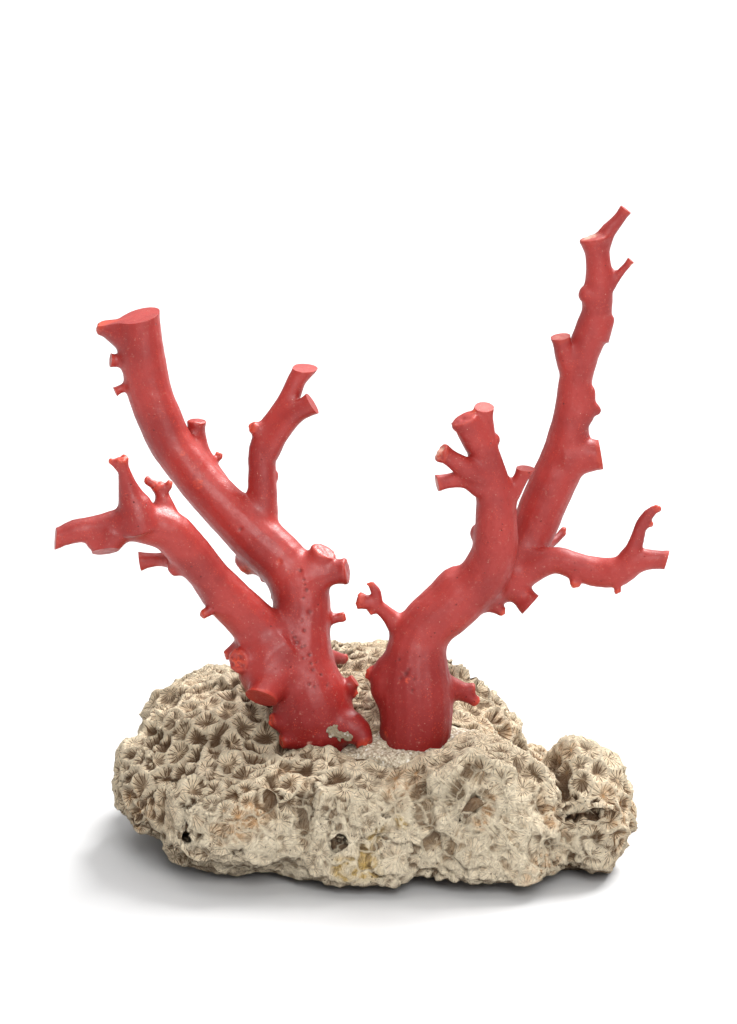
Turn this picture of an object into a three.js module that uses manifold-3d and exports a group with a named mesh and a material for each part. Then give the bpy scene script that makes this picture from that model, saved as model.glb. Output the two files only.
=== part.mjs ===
// Two red corals, cut back to stubs and polished, standing in cement on a loose block of stony coral.
// Millimetres, +Z up. The origin is the middle of the flat underside of the stone, and -Y is the front.
import * as THREE from "three";
import { mergeVertices } from "three/addons/utils/BufferGeometryUtils.js";
import { ImprovedNoise } from "three/addons/math/ImprovedNoise.js";
import Module from "manifold-3d";

const wasm = await Module();
wasm.setup();

// Driving dimensions
const GAP = 0.3; // clearance between neighbouring pieces
const LIMB_SIDES = 8;
const RINGS_PER_SPAN = 1; // rings of a main limb between one station and the next
const STUB_SIDES = 6;
const TWIG_SIDES = 5;
const TWIG_RADIUS = 5.1; // a stub whose root is thinner than this is a twig
const FINE = 3; // how finely the large lumps of the stone are divided
const COARSE = 2; // and the small ones
const SMALL_LUMP = 22; // half size under which a lump is a small one
const LUMP_POWER = 2.5; // 2 is an ellipsoid, and more is boxier
const LARGE_BUMP = 3.4; // height of the stone's broad unevenness
const LARGE_WAVE = 26; // and its width
const SMALL_BUMP = 1.5;
const SMALL_WAVE = 9;
const HALF_SPACE = 400; // side of the block that cuts the underside flat

// A station of a limb is x, y, z and radius. A limb runs from its root to its cut end. fork is the share of
// the way along at which the branch is parted from what it grows from, and facing is the way its cut looks.
const LEFT_TRUNK = [
  [-18, -18, 33, 8],
  [-19, -17, 43, 11.5],
  [-22, -15, 56, 13],
  [-26, -12, 70, 12.5],
  [-27, -8, 82, 11.5],
  [-27, -4, 92, 10.5],
  [-29, -1, 101, 10.5],
  [-31, 0, 104, 9],
];
const LEFT_TALL = [
  [-27, -3, 92, 9.5],
  [-33, 0, 104.5, 10.2],
  [-41.5, 3, 113, 10],
  [-50, 5, 121, 9],
  [-59, 7, 130, 8.3],
  [-67, 9, 139, 7.9],
  [-74, 11, 149, 8],
  [-78.5, 12, 160, 8.2],
  [-82, 13, 171, 8.2],
  [-85, 14, 182, 7.9],
  [-85.5, 15, 196.5, 7],
];
const LEFT_SLIM = [
  [-42, 5, 112, 5.5],
  [-41, 6, 123, 5.6],
  [-41, 7, 131, 5.3],
  [-40, 8, 139, 5],
  [-40, 9, 147, 4.6],
  [-39, 10, 154, 4.9],
  [-35, 11, 160, 4.3],
  [-30.5, 12, 166, 3.8],
  [-28, 13, 172, 3.4],
  [-25, 14, 177.5, 3.6],
];
const LEFT_LOW = [
  [-28, -9, 70, 10.5],
  [-38, -12, 81, 9.8],
  [-46, -14, 90, 8.7],
  [-54, -16, 99, 8.1],
  [-61, -18, 108, 7.4],
  [-68, -20, 117, 7.5],
  [-75, -22, 124, 7.2],
  [-83, -24, 128, 6.6],
  [-92, -25, 128, 5.8],
  [-100, -26, 127, 4.8],
  [-107, -27, 125.5, 4.4],
  [-114, -28, 123, 3.9],
];
const RIGHT_TRUNK = [
  [15, -19, 33, 10],
  [15, -20, 45, 12.6],
  [15.5, -19, 56, 13.6],
  [15, -17, 65, 13.6],
  [15, -15, 73, 12],
  [16, -13, 80, 10.6],
  [20, -12, 87, 10.1],
  [27, -11, 93, 10.4],
  [33, -10, 99, 10.4],
  [36, -10, 102, 8.6],
];
const RIGHT_SHORT = [
  [30, -11, 96, 9],
  [39, -12, 104, 9],
  [43.5, -14, 114, 8.4],
  [44, -15, 123, 7.9],
  [44, -15, 132, 7.4],
  [42.5, -15, 141, 6.6],
  [40.6, -16, 149, 5.5],
  [38.8, -16, 157, 5],
  [38.6, -16, 164, 4.4],
  [39.5, -17, 170, 3.6],
];
const RIGHT_TALL = [
  [33, -7, 90, 8],
  [41, -4, 97, 8],
  [49, -1, 104, 8],
  [55, 3, 111, 7.6],
  [58.5, 5, 118, 8.2],
  [61.5, 6, 126, 8.7],
  [65.5, 7, 135, 8.8],
  [69, 8, 144, 8.2],
  [71, 8, 153, 7.4],
  [72, 8, 162, 6.6],
  [73, 8, 172, 6],
  [75, 8, 181, 6.1],
  [78, 8, 190, 6],
  [80.5, 8, 199, 5.4],
  [81, 8, 207, 5.2],
  [81, 8, 215, 4.8],
  [80.8, 8, 221, 4.4],
  [80, 8, 225, 4.8],
];
const RIGHT_SIDE = [
  [44, -5, 99, 6.8],
  [53, -4, 103.5, 6],
  [61, -5, 108, 5.5],
  [67, -6, 109.5, 5.1],
  [74, -8, 107.6, 5.1],
  [82, -10, 105.8, 5.5],
  [89, -12, 107, 5.4],
  [94, -13, 110.5, 4.5],
  [99, -14, 112, 3.8],
  [106, -15, 112, 3.8],
];

const LEFT_TRUNK_STUBS = [
  { path: [[-26, -3, 101, 8], [-20.5, -3, 108, 5.6], [-18.5, -4, 112, 4.2]] }, // upper right knob
  { path: [[-24, -4, 102, 8], [-15.5, -5, 104.5, 5], [-10.5, -6, 105.5, 4.4]] }, // middle right knob
  { path: [[-22, -6, 86, 3.5], [-15, -6, 86, 2], [-11, -6, 87, 1.5]] },
  { path: [[-19, -5, 72, 4], [-14, -1, 70.5, 2.6], [-11, 3, 69, 1.8]] },
  { path: [[-16, -13, 60, 5], [-11, -14, 63, 3.2], [-7, -14, 66, 2.2]] },
  { path: [[-17, -19, 50, 8], [-9.5, -22, 53, 6.4], [-4.5, -25, 51, 4.2], [-2.5, -27, 47, 2.4]] }, // lobe
  { path: [[-27, -19, 55, 7], [-33, -21, 54.5, 4], [-37, -22, 54, 1.8]] },
  { path: [[-25, -20, 48, 7], [-30, -23, 47, 3.5], [-34, -24, 47, 1.8]] },
  { path: [[-34, -14, 79, 9], [-41, -17, 73, 9], [-39, -20, 66, 7]] }, // bulge above the cut flange
  { path: [[-32, -18, 71, 8], [-38, -24, 68, 6.2], [-42, -30, 64.5, 5.3]], facing: [-0.25, -0.65, -0.72] },
  { path: [[-42, -15, 75, 6], [-48, -22, 76, 4], [-51, -26, 76.5, 3.6]], facing: [-0.6, -0.78, 0.1] },
  { path: [[-44, -12, 79, 5.5], [-50, -12, 77, 3.4], [-54, -12, 75, 1.6]] },
  { path: [[-24, 0, 66, 6], [-25, 6, 68, 4.2], [-26, 11, 70, 3.8]] }, // behind
];
const LEFT_TALL_STUBS = [
  { path: [[-85, 15, 184, 7], [-90, 15, 188.5, 5.4], [-95, 15, 190.8, 3.6], [-99.8, 15, 192.2, 2]],
    facing: [-0.5, -0.1, 0.86] }, // horn beside the top cut
  { path: [[-86, 14, 179, 3.4], [-92, 13, 179.5, 2.3], [-96, 12, 180, 2.2]] },
  { path: [[-85, 13, 172, 2.8], [-91, 12, 170, 1.7], [-94.5, 11, 168.5, 1.5]] },
  { path: [[-54, 12, 127, 5], [-60, 16, 137, 4], [-63.5, 17, 144, 3.6], [-65.5, 17.5, 151, 3.2],
    [-65.5, 17.5, 157, 3]], facing: [0, 0, 1] }, // stub behind, running up its side
  { path: [[-41, 5, 108, 8], [-48.5, 8, 103.5, 4.4]] }, // broken ridge underneath
  { path: [[-37, 3, 106, 6], [-42, 7, 100, 3]] },
  { path: [[-76, 17, 155, 4.6], [-77, 23, 158, 3], [-77, 27, 160, 2.7]] }, // behind
  { path: [[-83, 19, 178, 3.6], [-84, 24, 181, 2.3], [-85, 27, 182, 2.1]] },
];
const LEFT_SLIM_STUBS = [
  { path: [[-38, 8.5, 146, 4.8], [-33.5, 8, 154, 4.4], [-28, 7.5, 160.5, 4], [-21.5, 7, 164.5, 3.8]] },
  { path: [[-39, 10, 153, 4.5], [-42, 9, 156.5, 3], [-44, 8, 157.5, 2]] },
  { path: [[-39, 9, 138, 4.4], [-36, 9, 138, 3]] },
  { path: [[-40, 12, 144, 3.4], [-40, 16, 147, 2], [-40, 18, 148, 1.8]] }, // behind
];
const LEFT_LOW_STUBS = [
  { path: [[-84.5, -25, 127, 7.5], [-86.5, -25.5, 134, 4.6], [-88, -26, 141, 3], [-89, -27, 148, 2.2],
    [-90, -28, 152.5, 2]] }, // upright prong
  { path: [[-77, -20, 126, 6.5], [-76, -19, 132, 4.2], [-76, -18, 136.5, 2.8], [-78, -18, 140, 2.1],
    [-80.5, -18, 143.5, 1.8]] }, // broken prong
  { path: [[-92, -26, 125.5, 6.4], [-97.5, -28.5, 120.5, 4.8]], facing: [0, -0.45, -0.89] },
  { path: [[-71, -17, 114, 5], [-77, -13, 112.5, 3.2], [-80, -12, 112, 2.9], [-85, -11, 111.5, 3.1]],
    facing: [-1, 0, -0.15] },
  { path: [[-68, -19, 113, 5.5], [-72.5, -19, 109.5, 3]] },
  { path: [[-60, -13, 105, 4], [-62, -8, 104, 2.6], [-63, -5, 103, 2.4]] }, // behind
];
const RIGHT_TRUNK_STUBS = [
  { path: [[13, -12, 81, 7], [8, -12, 87.5, 3.9], [4.5, -13, 91.5, 2.9], [0.5, -14, 95, 2.8],
    [-5, -14, 96.5, 2.9]] }, // forked prong
  { path: [[1, -14, 96, 2.2], [0.5, -14, 100, 1.8], [-1.5, -14, 103, 1]] },
  { path: [[7, -14, 65, 7], [1, -15, 68, 3.6], [-2, -15, 69.5, 2]] },
  { path: [[24, -13, 63, 6.5], [30, -12, 62, 4], [33, -12, 61.5, 3.2], [37, -12, 62, 2]] },
  { path: [[10, -22, 48, 8], [6, -25, 46.5, 4.2]] },
  { path: [[12, -16, 73, 8], [6.5, -16, 67, 8.4], [9, -17, 60, 8]] }, // bulge on the left
  { path: [[14, -5, 66, 6], [13, 1, 68, 4], [12, 5, 69, 3.6]] }, // behind
];
const RIGHT_SHORT_STUBS = [
  { path: [[39, -17, 154, 5.4], [35.5, -18, 160, 4.6], [33, -19, 165, 4.1]], facing: [-0.1, -0.2, 0.97] },
  { path: [[39, -18, 143, 5], [33, -21, 147, 3.6], [28, -22, 151, 3], [24, -23, 154, 3.1]] },
  { path: [[39, -18, 139, 5], [33, -19, 142, 3.2], [28, -20, 142.3, 2.6], [22.5, -21, 141.5, 2.5]] },
  { path: [[46, -14, 133, 5], [50, -14, 137.5, 3.2], [52, -14, 141, 2.8], [54.5, -14, 146, 2.7]],
    facing: [0.1, -0.1, 1] },
  { path: [[41, -12, 121, 6], [36.5, -9, 120.5, 4.5]] },
  { path: [[46, -10, 126, 4.5], [48, -5, 127, 2.6], [49, -3, 128, 2.2]] }, // behind
];
const RIGHT_TALL_STUBS = [
  { path: [[80.5, 8, 218, 4.4], [84, 9, 226, 3.4], [87.5, 9, 231.5, 2.4], [90.5, 9, 236.5, 2.5]] }, // twig
  { path: [[82, 8, 206, 3.8], [86.5, 7, 210.5, 1.9], [89, 7, 213.5, 1.4], [92, 7, 217, 1.3]] },
  { path: [[72, 8, 178, 5], [69, 5.5, 184, 3.6], [68, 4.5, 187, 3.1], [67.5, 4, 190.5, 3]] },
  { path: [[79, 7, 205, 4.8], [76, 6, 206, 3.2]] },
  { path: [[80, 8, 191, 6.5], [86.5, 8, 194, 2.6]] },
  { path: [[74, 7, 162, 6], [78, 6.5, 167, 4], [79.3, 6, 171, 1.8]] }, // fin
  { path: [[74, 7, 160, 6], [79, 6, 163, 3.6], [81.6, 5.5, 162.5, 1.6]] },
  { path: [[71, 7, 145, 8.4], [77, 5.5, 145.5, 6.2], [80, 5, 146, 5.5], [82.8, 4.5, 146.4, 5.4]],
    facing: [1, 0, -0.17] }, // thick stub on the right
  { path: [[62, 9, 111, 4], [67, 14, 111.5, 1.8], [70.5, 18, 114, 1.4]] },
  { path: [[68, 14, 150, 5], [67, 19, 153, 3.2], [66, 22, 154, 2.9]] }, // behind
  { path: [[76, 12, 183, 4], [76, 16, 187, 2.4], [76, 19, 189, 2.1]] },
  { path: [[63, 12, 127, 4.5], [61, 18, 129, 2.7], [60, 21, 130, 2.4]] },
];
const RIGHT_SIDE_STUBS = [
  { path: [[91, -12, 110, 4.6], [92.5, -14, 116, 3.2], [93.8, -14, 120, 2.6], [95.5, -14, 125, 2.3],
    [98.5, -14, 129, 2], [102, -14, 131.5, 1.2]] }, // curved prong
  { path: [[96, -14, 125, 2.2], [99, -14, 125.5, 1.1]] },
  { path: [[86.5, -12, 106, 3.6], [88, -14, 102.5, 1.6], [88.5, -15, 100, 1]] },
  { path: [[74, -9, 106, 3.2], [73, -12, 101.5, 1.5]] },
  { path: [[79, -7, 106, 3.8], [80, -3, 106, 2.2], [81, -1, 105, 2]] }, // behind
];
const RIGHT_ROOT_STUBS = [
  { path: [[46, -5, 102, 7], [50.5, -6, 98, 5], [53, -7, 95.5, 4.1], [55.8, -9, 93, 3.7]],
    facing: [0.75, -0.2, -0.65] },
];

// Each branch's fork, as a share of its stations.
const FORK = {
  leftTall: 0.14,
  leftSlim: 0.2,
  leftLow: 0.24,
  rightShort: 0.15,
  rightTall: 0.19,
  rightSide: 0.23,
};
const LEFT_TOP_CUT = [-0.3, -0.15, 0.94];
const LEFT_SLIM_CUT = [0.1, -0.15, 0.98];
const RIGHT_TOP_CUT = [0.12, -0.2, 0.97];
const LEFT_LOW_CUT = [-0.98, -0.15, 0.1];
const RIGHT_SHORT_CUT = [0.05, -0.3, 0.95];
const RIGHT_SIDE_CUT = [0.95, -0.1, -0.25];

// The stone is lumps run together: middle, half sizes, and turn about Z in degrees.
const STONE_LUMPS = [
  { at: [-49, 16, 28.5], half: [40.5, 46, 29.5], turn: 8 }, // left mound
  { at: [-62.5, -5, 27], half: [34, 37, 18.5], turn: -6 }, // left edge, clear of the ground
  { at: [-8, 29, 26.5], half: [52, 43, 36.5], turn: -4 }, // back
  { at: [21, 18, 13], half: [37, 44, 35.5], turn: -16 }, // right slope
  { at: [-38, -32, 23.5], half: [41, 28, 23], turn: 6 }, // front rim, left
  { at: [-1, -29, 13], half: [38, 33.5, 31], turn: 0 }, // middle, under the feet
  { at: [37, -36, 16], half: [36, 24, 34], turn: -3 }, // front block
  { at: [76, -22, 20], half: [18, 28, 26], turn: 14 }, // right lobe
  { at: [52, 14, 6], half: [34, 40, 20], turn: -10 }, // low back right
];
// What clears the front edge from the ground, and the deepest pits, with the slot under the ledge of the
// right lobe: middle and half sizes.
const STONE_UNDERCUT = { at: [12, -72, -3.6], half: [80, 34, 8.5], turn: -2 };
const STONE_PITS = [
  { at: [36, -60, 34], half: [2.4, 7, 2.4] }, // round hole in the front block
  { at: [80, -49, 26], half: [10, 7, 1.6] }, // slot under the ledge of the right lobe
  { at: [66, -53, 33], half: [3.2, 10, 9] }, // crevice beside it
  { at: [-70, -45, 31], half: [5, 8, 3.5] },
  { at: [-66, -47, 20], half: [5, 11, 3.5] },
  { at: [-38, -59, 36], half: [3, 6, 5.5] },
  { at: [-12, -59, 20], half: [4, 4.5, 2.6] },
  { at: [-87, 2, 38], half: [7, 5, 4.5] },
  { at: [-62, 8, 57], half: [5, 5, 4.5] },
  { at: [-40, -6, 56], half: [5, 4.5, 5] },
  { at: [34, 36, 50], half: [5, 5, 8] },
  { at: [-8, 66, 50], half: [7, 6, 5] },
  { at: [-46, 59, 38], half: [6, 7, 5] },
  { at: [36, 58, 24], half: [8, 6, 5] },
  { at: [78, 8, 22], half: [6, 6, 5] },
];
const CEMENT_BED = { at: [16, -21, 40], half: [29, 16, 7], turn: 4 };
const CEMENT_PATCH = { at: [-12.5, -27.6, 48.5], half: [5.4, 2.4, 3], turn: 22 };

const RED_CORAL = new THREE.MeshStandardMaterial({ color: 0xb04440, roughness: 0.42, metalness: 0 });
const STONY_CORAL = new THREE.MeshStandardMaterial({ color: 0xb7a488, roughness: 0.95, metalness: 0 });
const CEMENT = new THREE.MeshStandardMaterial({ color: 0x8b8272, roughness: 0.9, metalness: 0 });

// A closed three.js geometry as a solid that can be joined and cut.
function solid(geometry) {
  const bare = geometry.clone();
  bare.deleteAttribute("normal");
  bare.deleteAttribute("uv");
  const merged = mergeVertices(bare, 1e-4);
  return new wasm.Manifold(
    new wasm.Mesh({
      numProp: 3,
      vertProperties: merged.attributes.position.array,
      triVerts: new Uint32Array(merged.index.array),
    }),
  );
}

function join(...solids) {
  return solids.reduce((whole, next) => whole.add(next));
}

// A solid back as a named mesh.
function piece(name, made, material) {
  const { vertProperties, triVerts } = made.getMesh();
  const geometry = new THREE.BufferGeometry()
    .setAttribute("position", new THREE.BufferAttribute(vertProperties, 3))
    .setIndex(new THREE.BufferAttribute(triVerts, 1));
  geometry.computeVertexNormals();
  const mesh = new THREE.Mesh(geometry, material);
  mesh.name = name;
  return mesh;
}

// A cylinder bent along its stations, with its last ring in the plane of the cut. grow thickens it all round.
function tube(stations, { sides, perSpan = 1, facing = null, grow = 0 }) {
  const line = new THREE.CatmullRomCurve3(stations.map(([x, y, z]) => new THREE.Vector3(x, y, z)));
  const girth = new THREE.SplineCurve(stations.map(([, , , r], i) => new THREE.Vector2(i, r)));
  const rings = (stations.length - 1) * perSpan;
  const frames = line.computeFrenetFrames(rings);
  const geometry = new THREE.CylinderGeometry(1, 1, 1, sides, rings);
  const position = geometry.attributes.position;
  const cut = facing && new THREE.Vector3(...facing).normalize();
  const point = new THREE.Vector3();
  for (let i = 0; i < position.count; i++) {
    const ring = Math.round((position.getY(i) + 0.5) * rings);
    const centre = line.getPoint(ring / rings);
    const tangent = line.getTangent(ring / rings);
    // The frames are spaced by length and the rings by station, so each is squared up to its own tangent.
    const across = frames.normals[ring].clone().addScaledVector(tangent, -frames.normals[ring].dot(tangent));
    across.normalize();
    const along = new THREE.Vector3().crossVectors(across, tangent);
    const radius = girth.getPoint(ring / rings).y + grow;
    point.copy(centre).addScaledVector(across, radius * position.getX(i));
    point.addScaledVector(along, radius * position.getZ(i));
    if (ring === rings && cut) {
      const lift = cut.dot(centre.clone().sub(point)) / cut.dot(tangent);
      point.addScaledVector(tangent, lift);
    }
    position.setXYZ(i, point.x, point.y, point.z);
  }
  return solid(geometry);
}

function limb(stations, facing = null, grow = 0) {
  return tube(stations, { sides: LIMB_SIDES, perSpan: RINGS_PER_SPAN, facing, grow });
}

function stubs(list, grow = 0) {
  return list.map(({ path, facing = null }) =>
    tube(path, { sides: path[0][3] < TWIG_RADIUS ? TWIG_SIDES : STUB_SIDES, facing, grow }),
  );
}

// A branch parted at its fork: the root stays with the parent, and the rest is the branch's own piece.
function parted(stations, share, facing, ownStubs) {
  const line = new THREE.CatmullRomCurve3(stations.map(([x, y, z]) => new THREE.Vector3(x, y, z)));
  const along = line.getTangent(share);
  const distance = line.getPoint(share).dot(along);
  const rootOf = (whole) => whole.trimByPlane(along.clone().negate().toArray(), -distance);
  return {
    root: rootOf(limb(stations, facing)),
    rootClear: rootOf(limb(stations, facing, GAP)),
    clear: limb(stations, facing, GAP),
    rest: join(limb(stations, facing), ...stubs(ownStubs)).trimByPlane(along.toArray(), distance + GAP),
  };
}

// An icosahedron swollen to the lump's size and made uneven, the same way on every run.
function lump({ at, half, turn = 0 }, { detail = null, power = LUMP_POWER, grow = 0, bump = 1 } = {}) {
  const noise = new ImprovedNoise();
  const division = detail ?? (Math.min(...half) < SMALL_LUMP ? COARSE : FINE);
  const geometry = new THREE.IcosahedronGeometry(1, division);
  const position = geometry.attributes.position;
  const turned = new THREE.Matrix4().makeRotationZ(THREE.MathUtils.degToRad(turn)).setPosition(...at);
  const point = new THREE.Vector3();
  const uneven = (p, wave) => noise.noise(p.x / wave + 7, p.y / wave + 3, p.z / wave + 11);
  for (let i = 0; i < position.count; i++) {
    point.fromBufferAttribute(position, i).normalize();
    const sum = Math.abs(point.x) ** power + Math.abs(point.y) ** power + Math.abs(point.z) ** power;
    const norm = sum ** (1 / power);
    const outward = point.clone();
    point.set(...["x", "y", "z"].map((axis, k) => (point[axis] / norm) * (half[k] + grow)));
    point.applyMatrix4(turned);
    const height = LARGE_BUMP * uneven(point, LARGE_WAVE) + SMALL_BUMP * uneven(point, SMALL_WAVE);
    point.addScaledVector(outward, 2 * bump * height);
    position.setXYZ(i, point.x, point.y, point.z);
  }
  return solid(geometry);
}

// The red corals
const leftTall = parted(LEFT_TALL, FORK.leftTall, LEFT_TOP_CUT, LEFT_TALL_STUBS);
const leftLow = parted(LEFT_LOW, FORK.leftLow, LEFT_LOW_CUT, LEFT_LOW_STUBS);
const leftSlim = parted(LEFT_SLIM, FORK.leftSlim, LEFT_SLIM_CUT, LEFT_SLIM_STUBS);
const rightShort = parted(RIGHT_SHORT, FORK.rightShort, RIGHT_SHORT_CUT, RIGHT_SHORT_STUBS);
const rightTall = parted(RIGHT_TALL, FORK.rightTall, RIGHT_TOP_CUT, RIGHT_TALL_STUBS);
const rightSide = parted(RIGHT_SIDE, FORK.rightSide, RIGHT_SIDE_CUT, RIGHT_SIDE_STUBS);

// Each trunk, and the same trunk grown by the gap, which is cut from whatever it touches.
const leftFoot = join(limb(LEFT_TRUNK), leftTall.root, leftLow.root, ...stubs(LEFT_TRUNK_STUBS));
const leftClear = join(
  limb(LEFT_TRUNK, null, GAP),
  leftTall.rootClear,
  leftLow.rootClear,
  ...stubs(LEFT_TRUNK_STUBS, GAP),
);
const rightRoots = [rightShort, rightTall, rightSide];
const rightStubs = [...RIGHT_ROOT_STUBS, ...RIGHT_TRUNK_STUBS];
const rightFoot = join(limb(RIGHT_TRUNK), ...rightRoots.map(({ root }) => root), ...stubs(rightStubs));
const rightClear = join(
  limb(RIGHT_TRUNK, null, GAP),
  ...rightRoots.map(({ rootClear }) => rootClear),
  ...stubs(rightStubs, GAP),
);

// What the feet stand in
const cutter = new THREE.BoxGeometry(HALF_SPACE, HALF_SPACE, HALF_SPACE);
const floorBlock = solid(cutter).translate([0, 0, -HALF_SPACE / 2]);
const bed = lump(CEMENT_BED, { bump: 0.25 }).subtract(leftClear).subtract(rightClear);
const bedClear = lump(CEMENT_BED, { grow: GAP, bump: 0.25 });
const stone = join(...STONE_LUMPS.map((one) => lump(one)))
  .subtract(floorBlock)
  .subtract(lump(STONE_UNDERCUT, { detail: 1, power: 2, bump: 0 }))
  .subtract(join(...STONE_PITS.map((pit) => lump(pit, { detail: 0, power: 2, bump: 0 }))))
  .subtract(bedClear)
  .subtract(lump(CEMENT_PATCH, { detail: 1, grow: GAP, bump: 0.15 }))
  .subtract(leftClear)
  .subtract(rightClear);
const patch = lump(CEMENT_PATCH, { detail: 1, bump: 0.15 })
  .subtract(bedClear)
  .subtract(leftClear)
  .subtract(rightClear);

const coral = new THREE.Group();
coral.add(
  piece("stone_block", stone, STONY_CORAL),
  piece("cement_bed", bed, CEMENT),
  piece("cement_patch", patch, CEMENT),
  piece("left_trunk", leftFoot, RED_CORAL),
  piece("left_tall_branch", join(leftTall.rest, leftSlim.root).subtract(leftClear), RED_CORAL),
  piece("left_slim_branch", leftSlim.rest, RED_CORAL),
  piece("left_low_branch", leftLow.rest.subtract(leftClear), RED_CORAL),
  piece("right_trunk", rightFoot, RED_CORAL),
  piece("right_short_branch", rightShort.rest.subtract(rightClear), RED_CORAL),
  piece("right_tall_branch", rightTall.rest.subtract(rightClear), RED_CORAL),
  piece("right_side_branch", rightSide.rest.subtract(rightTall.clear).subtract(rightClear), RED_CORAL),
);

export default coral;
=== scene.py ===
import math

import bmesh
import bpy
import numpy as np
from bpy.props import FloatProperty, FloatVectorProperty, IntProperty, PointerProperty
from mathutils import Matrix, Vector, noise
from mathutils.kdtree import KDTree


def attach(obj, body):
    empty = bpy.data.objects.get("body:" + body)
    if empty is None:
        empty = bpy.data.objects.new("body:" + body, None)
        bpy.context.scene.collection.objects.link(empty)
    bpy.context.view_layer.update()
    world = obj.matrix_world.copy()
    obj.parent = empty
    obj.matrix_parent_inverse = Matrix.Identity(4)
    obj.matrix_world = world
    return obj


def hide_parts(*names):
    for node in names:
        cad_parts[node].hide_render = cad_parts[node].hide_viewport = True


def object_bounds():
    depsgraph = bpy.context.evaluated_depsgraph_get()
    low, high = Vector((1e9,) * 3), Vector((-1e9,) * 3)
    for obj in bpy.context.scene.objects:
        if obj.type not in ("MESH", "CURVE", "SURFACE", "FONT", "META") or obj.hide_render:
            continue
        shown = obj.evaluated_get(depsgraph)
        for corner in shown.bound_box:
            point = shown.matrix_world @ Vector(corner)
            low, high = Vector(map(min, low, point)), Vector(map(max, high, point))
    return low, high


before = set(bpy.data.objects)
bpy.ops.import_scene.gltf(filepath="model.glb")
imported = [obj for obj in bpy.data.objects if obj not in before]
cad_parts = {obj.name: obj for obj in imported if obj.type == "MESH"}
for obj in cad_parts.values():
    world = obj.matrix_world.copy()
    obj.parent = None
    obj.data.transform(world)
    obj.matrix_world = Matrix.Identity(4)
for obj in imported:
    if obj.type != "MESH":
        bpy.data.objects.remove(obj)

bl_info = {
    "name": "Red coral on stony coral",
    "version": (1, 0, 0),
    "blender": (4, 5, 0),
    "location": "View3D > Sidebar > Coral",
    "description": "Two cut-back red corals in grey cement on a block of stony coral",
    "category": "Object",
}

CAD_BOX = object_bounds()
MM = 0.001
BODY = "root"

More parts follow.
